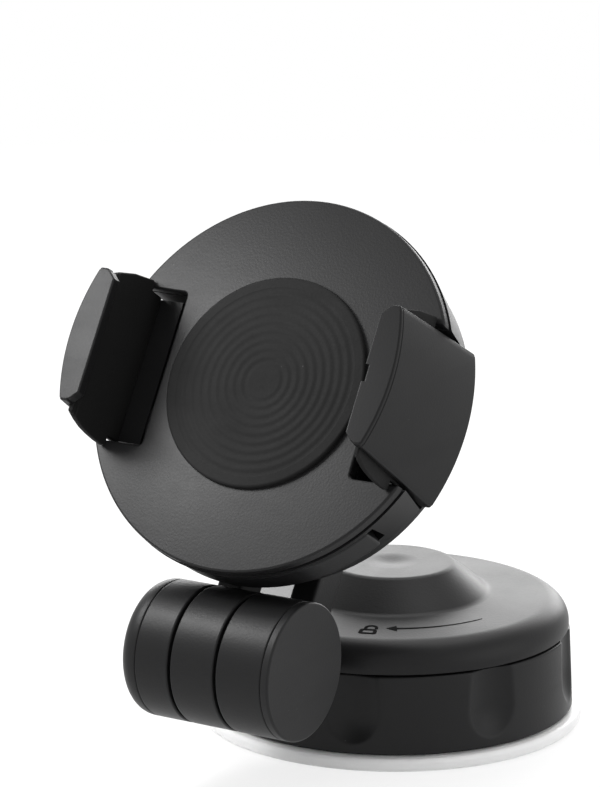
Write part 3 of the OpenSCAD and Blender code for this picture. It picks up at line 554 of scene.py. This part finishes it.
def ring_web_parts():
    """Web inside the twist ring: an inner band, an outer band and the bridges, which run a little into both."""
    low, high, hole, inner, outer, rim = 10.9, 13.1, 5.3, 19.2, 25.8, 30.8
    bridges, first, span, overlap, sink, edge = 3, 115.9, 23.1, 0.2, 0.01, 0.1
    parts = [band(hole, inner, low, high, 96), band(outer, rim, low, high, 96)]
    for start in first + 360 / bridges * np.arange(bridges):
        parts.append(sector(inner - overlap, outer + overlap, low + sink, high - sink, start, start + span, edge))
    return parts


COVER = SimpleNamespace(
    rim=33.9, z=17.8, round=4.8, edge=23.6, crown=24.4, hub_foot=17.2, fillet=2.4, hub_top=13.0, hub_round=1.8,
    hub=30.0, wall=2.2, dimple=5.6, dip=0.5)


def cover_top(r):
    """Height of the cover's sloping top at a radius, between the hub's fillet and the rim's rounding."""
    c = COVER
    inner, outer = c.hub_foot + c.fillet, c.rim - c.round
    return c.crown + (c.edge - c.crown) * (r - inner) / (outer - inner)


def cover_parts():
    """Base cover: outside and inside profile as one closed loop turned about the base's axis, with the lip that
    centres the ring and the screw bosses. The hub's dimple is soft: depth = dip (1 + cos(pi r / R)) / 2."""
    c, w = COVER, COVER.wall
    bevel, bevel_mid, ceiling = 0.3, 0.09, 22.4
    lip_in, lip_out, lip_foot = 28.7, 30.3, 16.0
    bosses, boss_turn, boss_ring, boss_r, boss_foot = 3, 30, 22.5, 3.0, 6.8
    dimple_r = np.linspace(c.dimple, 0, 17)
    dimple = np.c_[dimple_r, c.hub - c.dip * (0.5 + 0.5 * np.cos(np.pi * dimple_r / c.dimple))]
    profile = np.r_[
        [[c.rim - bevel, c.z], [c.rim - bevel_mid, c.z + bevel_mid], [c.rim, c.z + bevel]],
        arc(c.rim - c.round, c.edge - c.round, c.round, 0, 90, 18),
        arc(c.hub_foot + c.fillet, c.crown + c.fillet, c.fillet, 270, 225, 8),
        arc(c.hub_top - c.hub_round, c.hub - c.hub_round, c.hub_round, 45, 90, 10), dimple,
        [[0, c.hub - w], [c.hub_top - w, c.hub - w], [c.hub_foot - w, c.edge - w]],
        arc(c.rim - c.round, c.edge - c.round, c.round - w, 90, 0, 8), [[c.rim - w, c.z]]]
    parts = [turned(profile, 192), band(lip_in, lip_out, lip_foot, ceiling, 96)]
    for a in np.radians(boss_turn + 360 / bosses * np.arange(bosses)):
        centre = (boss_ring * np.cos(a), boss_ring * np.sin(a), 0)
        parts.append(band(0, boss_r, boss_foot, ceiling, 32, centre))
    return parts


def lift_spring_part():
    """Compression spring round the stud: a round wire on a helix, height = low + rise s(t), where s runs level over
    the first and last coil: s = t - sin(2 pi t) / (2 pi) of the share t of all turns."""
    wire, middle, turns, steps, around = 0.55, 6.2, 4.5, 217, 12
    low, high = (v[2] for v in box_mm("stud_spring"))
    t = np.linspace(0, 1, steps)
    height = low + wire + (high - low - 2 * wire) * (t - np.sin(2 * np.pi * t) / (2 * np.pi))
    b = np.linspace(0, 2 * np.pi, around, endpoint=False)
    r = middle + wire * np.cos(b)
    return loft([np.c_[r * np.cos(a), r * np.sin(a), z + wire * np.sin(b)]
                 for a, z in zip(2 * np.pi * turns * t, height)])


BARREL_R = 12.5


def neck_part():
    """Neck and middle knuckle: a bar that runs into a round eye with filleted corners, as a (Y, Z) outline."""
    half, top, foot, base, root_top, root_foot = 4.5, 22.0, 15.2, 17.8, -31.9, -35.6
    top_reach, foot_reach, top_trim, foot_trim = 14.5, 11.2, 8, 10
    fillet, sharp, joint, edge, n = 2.6, 0.3, 0.05, 0.35, 7
    y, z = HINGE[1], HINGE[2]
    up, down = (np.degrees(np.arcsin((h - z) / BARREL_R)) for h in (top, foot))
    eye = arc(y, z, BARREL_R, up + top_trim, 360 + down - foot_trim, 72)
    corner = rounded([(root_top, top, sharp), (y + top_reach, top, fillet), (*eye[0], joint), (*eye[-1], joint),
                      (y + foot_reach, foot, fillet), (root_foot, foot, 2 * sharp), (root_foot, base, sharp),
                      (root_top, base, sharp)], n - 1)
    outline = np.r_[corner[:2 * n], eye[1:-1], corner[4 * n:]]
    return moved(prism(outline, -half, half, edge), side_on)


KNUCKLES = {  # start and end along the barrel, then the rounding at each
    "left_cap": (-16.0, -12.0, 3.2, 0.3), "left": (-12.02, -5.1, 0.3, 0.35),
    "right": (5.1, 14.38, 0.35, 0.3), "right_cap": (14.4, 16.0, 0.25, 0.45)}


def knuckle(name):
    """Disc of the barrel along X with its own rounding at each end, in the hinge's frame."""
    start, end, near, far = KNUCKLES[name]
    first = arc(BARREL_R - near, start + near, near, 0, -90, 8)
    last = arc(BARREL_R - far, end - far, far, 90, 0, 8)
    return turned(np.r_[[[0, start]], first[::-1], last[::-1], [[0, end]]], 112, "x")


ARM_LENGTH, ARM_BACK = 47.4, -12.5


def arm_parts(edge):
    """Arm in the hinge's frame: two outer knuckles, a forked plate that ends in a hollow arc, and a round head
    with the recess of the swivel."""
    length, low, high, head, half = ARM_LENGTH, ARM_BACK, -5.2, 12.0, 10.5
    fork, reach, root, hollow, turn, joint = 5.1, 20.0, 0.5, 10.0, 22.0, 0.05
    recess, floor, stub, mouth, sink = 8.5, -9.1, 6.06, 0.25, 0.02
    end = arc(0, length, hollow, -turn, turn - 180, 28)
    throat = rounded([(-fork, root, joint), (-fork, reach, 2.0), (fork, reach, 2.0), (fork, root, joint)], 6)[7:21]
    plate = np.r_[
        [[half, root], [half, end[0][1]]], end, [[-half, end[-1][1]], [-half, root], [-fork, root]], throat,
        [[fork, root]]]
    profile = np.r_[
        arc(head - edge, low + edge, edge, -90, 0, 5), arc(head - edge, high - edge, edge, 0, 90, 5),
        [[stub, high], [stub, floor], [recess - joint, floor], [recess, floor - joint]],
        [[recess, low + mouth], [recess + mouth, low]]]
    parts = [prism(plate, low + sink, high - sink, edge), turned(profile, 112, centre=(0, length, 0)),
             knuckle("right"), knuckle("left")]
    return [moved(p, at_hinge) for p in parts]


def swivel_cap_part():
    """Disc with a rounded rim that closes the swivel's recess from behind."""
    r, low, thick, edge = 8.42, ARM_BACK, 0.8, 0.3
    profile = np.r_[[[0, low + thick], [r, low + thick]], arc(r - edge, low + edge, edge, 0, -90, 4),
                    level(np.linspace(r - 2 * edge, 0, 8)[:, None], low)]
    return moved(turned(profile, 96, centre=(0, ARM_LENGTH, 0)), at_hinge)


CLAMP = SimpleNamespace(
    middle=33.6, bow=39.0, flare=1.2, back=-14.4, front=14.2, tall_back=14.6, tall_front=12.8, wall=2.2, seat=30.4,
    lip=27.8, plate=2.0, floor=-3.4, tilt=0.3, corner=1.9, notch=0.7, notch_half=1.6, notch_side=0.06, seam=0.9,
    seam_half=0.2, back_r=0.5, lip_r=0.4, inner_r=0.2, seam_r=0.02)


def clamp_part(edge, notched):
    """Right clamp: a section in (X, Z) for each station v from -1 to 1, set at Y = v h(Z), where h is the half
    height. The outer side lies on the flared cone x = c + sqrt(R(Z)^2 - Y^2), with a fine seam near the front; the
    inner side is the smaller cone behind and a plane beside the grip pad in front, under a lip with slanted ends."""
    c = CLAMP
    depth, step = c.front - c.back, c.front - c.plate
    seam, sw = c.front - c.seam, c.seam_half
    below, above = c.floor - c.tilt, c.floor + c.tilt
    back_r, lip_r, inner_r, seam_r = c.back_r, c.lip_r, c.inner_r, c.seam_r

    def half(z):
        """Half height at a depth."""
        return c.tall_front + (c.tall_back - c.tall_front) * (c.front - z) / depth

    def cone(v, z, wall=0.0):
        """X of the cone, set in by a wall, at a station and a depth."""
        radius = c.bow + c.flare * (c.front - z) / depth - wall
        return c.middle - c.bow + np.sqrt(radius ** 2 - (v * half(z)) ** 2)

    kinks = [c.notch_half - c.notch_side, c.notch_half, c.tall_front - c.corner]
    kinks = np.array(kinks) / c.tall_front
    turn = np.linspace(0, np.pi / 2, 5)
    ends = np.c_[np.ones(5), edge * (1 - np.cos(turn)), edge * (1 - np.sin(turn))]
    inner = np.unique(np.r_[np.linspace(-1, 1, 49), kinks, -kinks])[1:-1]
    stations = np.r_[ends * [-1, 1, 1], np.c_[inner, inner * 0, inner * 0], ends[::-1]]
    loops = []
    for v, pull, s in stations:
        y = abs(v) * c.tall_front
        dent = c.notch if notched and y < c.notch_half - c.notch_side / 2 else 0.0
        lip = c.lip + s + max(dent, y - c.tall_front + c.corner)
        low, high, seat = c.back + s, c.front - s, c.seat + s
        section = rounded([
            (cone(v, low) - s, low, back_r), (cone(v, seam - sw) - s, seam - sw, seam_r),
            (cone(v, seam) - s - sw, seam, seam_r), (cone(v, seam + sw) - s, seam + sw, seam_r),
            (cone(v, high) - s, high, lip_r), (lip, high, lip_r), (lip, step + s, inner_r),
            (seat, step + s, inner_r), (seat, above, inner_r), (cone(v, below, c.wall) + s, below, inner_r),
            (cone(v, low, c.wall) + s, low, lip_r)], 5)
        z = section[:, 1]
        loops.append(np.c_[section[:, 0], v * half(z) - np.sign(v) * pull, z])
    return loft(loops)


def grip_pad_part(edge):
    """Right grip pad: flat rounded bars stacked down its depth. Their two ends follow the pad's outlines above and
    below, as (depth, half height), which is fuller below, with a narrow tongue behind; each end of the stack is a
    quarter round, and the face dips in two grooves near the lip."""
    face, rear, back, foot, front, tall, tongue = 29.3, 30.38, -4.4, -0.7, 12.2, 16.2, 14.3
    grooves, dent, groove_half, rear_r = (10.9, 11.7), 0.4, 0.28, 0.2
    tip = [[back, tongue], [foot - 0.02, tongue], [foot, tall - 0.4], [foot + 0.12, tall - 0.12], [foot + 0.4, tall]]
    upper = np.array(tip + [[5.6, 0.93 * tall], [9.9, 0.84 * tall], [front, 0.77 * tall]])
    lower = np.array(tip + [[2.2, tall - 0.02], [5.0, 15.95], [7.4, 15.6], [9.9, 14.9], [front, 14.0]])
    round_end = edge * (1 - np.cos(np.linspace(0, np.pi / 2, 6)))
    z = np.unique(np.r_[np.linspace(back, front, 130), upper[:5, 0], back + round_end, front - round_end])
    e = np.clip(np.minimum(z - back, front - z) / edge, 0, 1)
    cut = edge * (1 - np.sqrt(1 - (1 - e) ** 2))
    above, below = (np.interp(z, keys[:, 0], keys[:, 1]) - cut for keys in (upper, lower))
    groove = sum(dent * np.clip(1 - ((z - g) / groove_half) ** 2, 0, 1) for g in grooves)
    return loft([level(rounded([(near, -k, edge), (far, -k, rear_r), (far, h, rear_r), (near, h, edge)], 5), height)
                 for height, h, k, near, far in zip(z, above, below, face + cut + groove, rear - cut)])


def face_pad_part():
    """Rubber disc for the device's back: rounded rim and shallow rings, height = top - d (1 - cos) / 2."""
    r, low, edge, depth, pitch, first, last = 20.0, -1.0, 0.5, 0.11, 1.7, 3.0, 17.95
    rr = np.linspace(r - edge, 0, 220)
    ring = depth * (0.5 - 0.5 * np.cos(2 * np.pi * (rr - first) / pitch)) * ((rr > first) & (rr < last))
    profile = np.r_[[[0, low], [r, low]], arc(r - edge, -edge, edge, 0, 90, 6), np.c_[rr[1:], -ring[1:]]]
    return moved(turned(profile, 160), at_cradle)


def plate_part(edge):
    """Front plate of the cradle: a disc with a straight-sided bay at each side and round edges."""
    r, bay_x, bay_y, low, high = 35.4, 22.0, 14.9, -3.2, -1.0
    gap, mouth, mouth_r, bay_r, joint = 1.2, 0.2, 0.5, 0.8, 0.05
    corner = np.degrees(np.arcsin(bay_y / r))
    upper, lower = (arc(0, 0, r, side + corner + gap, side + 180 - corner - gap, 72) for side in (0, 180))
    x = mouth - r * np.cos(np.radians(corner))
    left = rounded([(x, bay_y, mouth_r), (-bay_x, bay_y, bay_r), (-bay_x, -bay_y, bay_r), (x, -bay_y, mouth_r),
                    (0, 0, joint)], 6)[7:21]
    left = np.r_[[[x - joint, bay_y]], left, [[x - joint, -bay_y]]]
    return moved(prism(np.r_[upper, left, lower, left[::-1] * [-1, 1]], low, high, edge), at_cradle)


def key_parts():
    """Release key: a square-cornered section bent along the rim's circle, with its push stem inside."""
    r_in, r_out, low, high, steps = 31.8, 35.2, -11.2, -5.0, 62
    bottom, half, e, inner_r, outer_r = 270, 48.5, 0.6, 0.3, 0.7
    stem_low, stem_high, stem_edge = -10.0, -5.01, 0.15
    stem = rounded([(3.0, -33.0, 0.1), (6.2, -33.0, 0.1), (6.2, -26.9, 0.1), (6.9, -26.9, 0.2), (6.2, -25.5, 0.2),
                    (6.2, -17.5, 0.2), (3.0, -17.5, 0.2)], 3)
    ends = np.linspace(0, np.pi / 2, 6)
    turn = np.degrees(e / r_out)
    first, last = bottom - half, bottom + half
    angles = np.r_[first + turn * (1 - np.cos(ends)), np.linspace(first + turn, last - turn, steps + 2)[1:-1],
                   last - turn * (1 - np.cos(ends[::-1]))]
    shrink = np.r_[e * (1 - np.sin(ends)), np.zeros(steps), e * (1 - np.sin(ends[::-1]))]
    section = rounded([(r_in, low, inner_r), (r_out, low, outer_r), (r_out, high, outer_r), (r_in, high, inner_r)], 6)
    loops = []
    for a, s in zip(np.radians(angles), shrink):
        p = inset(section, s)
        loops.append(np.c_[p[:, 0] * np.cos(a), p[:, 0] * np.sin(a), p[:, 1]])
    return [moved(loft(loops), at_cradle), moved(prism(stem, stem_low, stem_high, stem_edge), at_cradle)]


MARK_SINK = 0.1


def arrow_part(height):
    """Curved arrow on the cover's top: a strip on a circle whose width grows from tail to head, then narrows to
    the tip, laid on the sloping top."""
    radius, tail, neck, tip, gap = 24.6, -16.0, -57.0, -61.4, 0.1
    thin, thick, wide, point = 0.05, 0.3, 1.3, 0.03
    angle = np.r_[np.linspace(tail, neck + gap, 60), np.linspace(neck, tip, 12)]
    half = np.r_[np.linspace(thin, thick, 60), np.linspace(wide, point, 12)]
    loops = []
    for a, w in zip(np.radians(angle), half):
        r = radius + w * np.array([-1, 1, 1, -1])
        z = cover_top(r) + np.array([-MARK_SINK, -MARK_SINK, height, height])
        loops.append(np.c_[r * np.cos(a), r * np.sin(a), z])
    return loft(loops)


def lock_mark_parts(height):
    """Small padlock sign beside the arrow: a round-cornered frame and a half-ring shackle, laid on the top."""
    centre, turn = 25.5, np.radians(-68.8)
    bow_x, bow_y, bow_out, bow_in, open_end = 0.35, 0.9, 1.35, 0.75, 20

    def place(p):
        """Flat sign (u along the circle, v inwards) set on the cover's slope."""
        r = centre - p[:, 1]
        a = turn + p[:, 0] / centre
        return np.c_[r * np.cos(a), r * np.sin(a), cover_top(r) + p[:, 2]]

    def box(half, foot, top, r):
        """Round-cornered outline."""
        return rounded([(-half, foot, r), (half, foot, r), (half, top, r), (-half, top, r)], 5)

    body, hole = box(1.6, -2.1, 0.3, 0.6), box(0.95, -1.45, -0.35, 0.3)
    frame_ring = loft([level(body, -MARK_SINK), level(body, height), level(hole, height), level(hole, -MARK_SINK)],
                      close=True)
    shackle = np.r_[arc(bow_x, bow_y, bow_out, -open_end, 180 + open_end, 20),
                    arc(bow_x, bow_y, bow_in, 180 + open_end, -open_end, 20)]
    bow = loft([level(shackle, -MARK_SINK), level(shackle, height)])
    return [moved(frame_ring, place), moved(bow, place)]


def screw_head_parts():
    """Heads of the four cradle screws with a hollow drive, seen from behind, and their shafts."""
    off_x, off_y, seat, length, shaft, head, thick, edge = 12.2, 21.0, -17.9, 9.0, 1.0, 2.3, 1.2, 0.3
    drive, drive_foot, depth = 1.15, 1.05, 0.35
    profile = np.r_[[[shaft, seat + length], [shaft, seat], [head, seat]],
                    arc(head - edge, seat - thick + edge, edge, 0, -90, 4),
                    [[drive, seat - thick], [drive_foot, seat - depth], [0, seat - depth], [0, seat + length]]]
    return [moved(turned(profile, 48, centre=(x, y, 0)), at_cradle) for x in (-off_x, off_x) for y in (-off_y, off_y)]


class HOLDER_OT_base(bpy.types.Operator):
    """Makes the gel pad, twist ring, base cover, neck and the spring inside"""
    bl_idname = "holder.base"
    bl_label = "Suction base"

    def execute(self, context):
        """Builds the base's pieces from the panel's sizes."""
        s = context.scene.holder_base
        solid("clear_gel_pad", [gel_pad_part(s.pad_edge / MM)], "base", ["gel_pad"], "gel")
        ring = [ring_part(s.ring_edge / MM, s.flute_blend / MM, s.flutes, s.first_flute)] + ring_web_parts()
        solid("twist_ring", ring, "ring", ["lock_ring"], "ring")
        solid("cover_and_neck", cover_parts() + [neck_part()], "base", ["base_cover"], "shell")
        marks = [arrow_part(s.mark_height / MM)] + lock_mark_parts(s.mark_height / MM)
        solid("turn_mark", marks, "base", [], "mark")
        spring = solid("stud_lift_spring", [lift_spring_part()], "base", ["stud_spring"], "steel")
        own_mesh(spring)
        return {"FINISHED"}


class HOLDER_OT_hinge_arm(bpy.types.Operator):
    """Makes the folding arm, the hinge's end caps and the swivel's cap"""
    bl_idname = "holder.hinge_arm"
    bl_label = "Hinge and arm"

    def execute(self, context):
        """Builds the arm's pieces from the panel's sizes."""
        s = context.scene.holder_cradle
        solid("folding_arm_moulding", arm_parts(s.arm_edge / MM), "folding_arm", ["arm"], "shell")
        solid("round_end_cap", [moved(knuckle("left_cap"), at_hinge)], "folding_arm", ["left_hinge_cap"], "shell")
        solid("flat_end_cap", [moved(knuckle("right_cap"), at_hinge)], "folding_arm", ["right_hinge_cap"], "cap")
        solid("swivel_cover_disc", [swivel_cap_part()], "folding_arm", ["swivel_cap"], "shell")
        return {"FINISHED"}


class HOLDER_OT_cradle(bpy.types.Operator):
    """Makes the cradle's front plate, face pad and release key"""
    bl_idname = "holder.cradle"
    bl_label = "Cradle"

    def execute(self, context):
        """Builds the cradle's pieces from the panel's sizes."""
        s = context.scene.holder_cradle
        solid("cradle_front", [plate_part(s.shell_edge / MM)], "cradle", ["front_plate"], "shell")
        solid("device_rest", [face_pad_part()], "cradle", ["face_pad"], "rubber")
        solid("release_bar", key_parts(), "key", ["release_key"], "shell")
        solid("cradle_screw_set", screw_head_parts(), "cradle", ["cradle_screws"], "steel")
        return {"FINISHED"}


class HOLDER_OT_clamps(bpy.types.Operator):
    """Makes the two curved clamps and their grip pads"""
    bl_idname = "holder.clamps"
    bl_label = "Clamps and grip pads"

    def execute(self, context):
        """Builds both sides, the left as a mirror image; only the right clamp's lip has a notch."""
        s = context.scene.holder_cradle
        pad = grip_pad_part(s.pad_edge / MM)
        for side, turn in (("right", at_cradle), ("left", lambda p: at_cradle(p * [-1, 1, 1]))):
            clamp = clamp_part(s.clamp_edge / MM, side == "right")
            solid(f"{side}_clamp_cover", [moved(clamp, turn)], f"{side}_side", [f"{side}_clamp"], "clamp")
            solid(f"{side}_rubber_grip", [moved(pad, turn)], f"{side}_side", [f"{side}_grip_pad"], "rubber")
        return {"FINISHED"}


class HOLDER_OT_carried_nodes(bpy.types.Operator):
    """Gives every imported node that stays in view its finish"""
    bl_idname = "holder.carried_nodes"
    bl_label = "Finishes of packed parts"

    def execute(self, context):
        """Picks a finish by the node's material slot in the record."""
        rows = {row["node"]: row["material_slot"] for row in frame["record"]["subparts"]}
        for name, node in frame["nodes"].items():
            material = finish(PLAIN_LOOKS[rows[name]])
            if not node.material_slots:
                node.data.materials.append(material)
            for place in node.material_slots:
                place.material = material
        return {"FINISHED"}


LAMPS = {  # size, place and the point that it faces, in metres
    "top": ((0.9, 0.6), (-0.1, 0.25, 0.95), (0, -0.02, 0.04)),
    "back": ((1.2, 0.6), (-0.45, 1.0, 0.42), (0, -0.02, 0.04)),
    "left": ((0.045, 0.045), (-0.072, -0.1, 0.13), (-0.033, -0.057, 0.082)),
    "rim": ((0.16, 0.12), (-0.06, 0.45, 0.08), (0.03, 0.02, 0.02)),
    "right": ((0.3, 0.3), (0.4, 0.05, 0.12), (0.02, -0.02, 0.03))}
CAMERA = SimpleNamespace(
    place=(0.3550, -0.5995, 0.2287), turn=32.07, rise=13.4, sensor=36.0, clip=(0.05, 20.0))


class HOLDER_OT_stage(bpy.types.Operator):
    """Makes the floor, lamps, sky and camera"""
    bl_idname = "holder.stage"
    bl_label = "Floor, light and camera"

    def execute(self, context):
        """Builds the stage from the panel's values."""
        s = context.scene.holder_stage
        half, drop, fade_rate = 4.0, 0.0002, 2.0
        mesh = bpy.data.meshes.new("pale_floor")
        mesh.from_pydata([(-half, -half, 0), (half, -half, 0), (half, half, 0), (-half, half, 0)], [], [(0, 1, 2, 3)])
        floor = placed("pale_floor", mesh)
        floor.location.z = -drop
        material, tree, shader, place = new_material("Pale floor")
        feed(tree, shader, {"Base Color": (*s.floor, 1.0), "Roughness": 0.6, "Specular IOR Level": 0.2})
        material.cycles.emission_sampling = "NONE"
        mesh.materials.append(material)
        white = tree.nodes.new("ShaderNodeEmission")
        far = new_node(tree, "ShaderNodeVectorMath", {0: place}, operation="LENGTH")
        beyond = math_node(tree, "SUBTRACT", far.outputs["Value"], s.fade_start)
        fade = math_node(tree, "MULTIPLY", beyond, fade_rate, clamp=True)
        share = math_node(tree, "ADD", math_node(tree, "MULTIPLY", fade, 1.0 - s.floor_white), s.floor_white)
        mix = new_node(tree, "ShaderNodeMixShader", {
            "Fac": math_node(tree, "MULTIPLY", seen_rays(tree), share), 1: shader.outputs["BSDF"],
            2: white.outputs["Emission"]})
        feed(tree, tree.nodes["Material Output"], {"Surface": mix.outputs["Shader"]})

        for side, (size, spot, aim) in LAMPS.items():
            data = bpy.data.lights.new(f"{side}_softbox", "AREA")
            data.energy = getattr(s, f"{side}_lamp")
            data.shape = "RECTANGLE"
            data.size, data.size_y = size
            light = placed(f"{side}_softbox", data)
            light.location = spot
            light.rotation_euler = (Vector(spot) - Vector(aim)).to_track_quat("Z", "Y").to_euler()

        world = bpy.data.worlds.new("Studio")
        context.scene.world = world
        world.use_nodes = True
        tree = world.node_tree
        strength = math_node(tree, "ADD", math_node(tree, "MULTIPLY", seen_rays(tree), 1.0 - s.sky), s.sky)
        feed(tree, tree.nodes["Background"], {"Color": (1, 1, 1, 1), "Strength": strength})

        data = bpy.data.cameras.new("photo_view")
        data.lens = s.lens
        data.sensor_width = CAMERA.sensor
        data.clip_start, data.clip_end = CAMERA.clip
        camera = placed("photo_view", data)
        turn, rise = np.radians(CAMERA.turn), np.radians(CAMERA.rise)
        away = Vector((np.sin(turn) * np.cos(rise), -np.cos(turn) * np.cos(rise), np.sin(rise)))
        camera.location = CAMERA.place
        camera.rotation_euler = (-away).to_track_quat("-Z", "Y").to_euler()
        context.scene.camera = camera
        context.scene.view_settings.view_transform = "Standard"
        return {"FINISHED"}


class HOLDER_PT_panel(bpy.types.Panel):
    """Lists the holder's settings and pieces"""
    bl_label = "Suction cup holder"
    bl_idname = "HOLDER_PT_panel"
    bl_space_type = "VIEW_3D"
    bl_region_type = "UI"
    bl_category = "Holder"

    def draw(self, context):
        """Shows one button for each operator and every setting."""
        layout = self.layout
        for operator in OPERATORS:
            layout.operator(operator.bl_idname)
        for group in SETTINGS:
            values = getattr(context.scene, group)
            box = layout.box()
            for key in values.bl_rna.properties.keys():
                if key not in {"rna_type", "name"}:
                    box.prop(values, key)


OPERATORS = (HOLDER_OT_base, HOLDER_OT_hinge_arm, HOLDER_OT_cradle, HOLDER_OT_clamps, HOLDER_OT_carried_nodes,
             HOLDER_OT_stage)
SETTINGS = {"holder_base": HolderBaseSizes, "holder_cradle": HolderCradleSizes, "holder_finish": HolderFinish,
            "holder_stage": HolderStage}
CLASSES = (*SETTINGS.values(), *OPERATORS, HOLDER_PT_panel)


def register():
    """Adds the classes and the scene's settings."""
    for item in CLASSES:
        bpy.utils.register_class(item)
    for name, group in SETTINGS.items():
        setattr(bpy.types.Scene, name, PointerProperty(type=group))


def unregister():
    """Removes the settings and the classes."""
    for name in SETTINGS:
        delattr(bpy.types.Scene, name)
    for item in reversed(CLASSES):
        bpy.utils.unregister_class(item)


def main():
    """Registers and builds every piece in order."""
    register()
    bpy.ops.holder.carried_nodes()
    bpy.ops.holder.base()
    bpy.ops.holder.hinge_arm()
    bpy.ops.holder.cradle()
    bpy.ops.holder.clamps()
    bpy.ops.holder.stage()


if __name__ == "__main__":
    main()
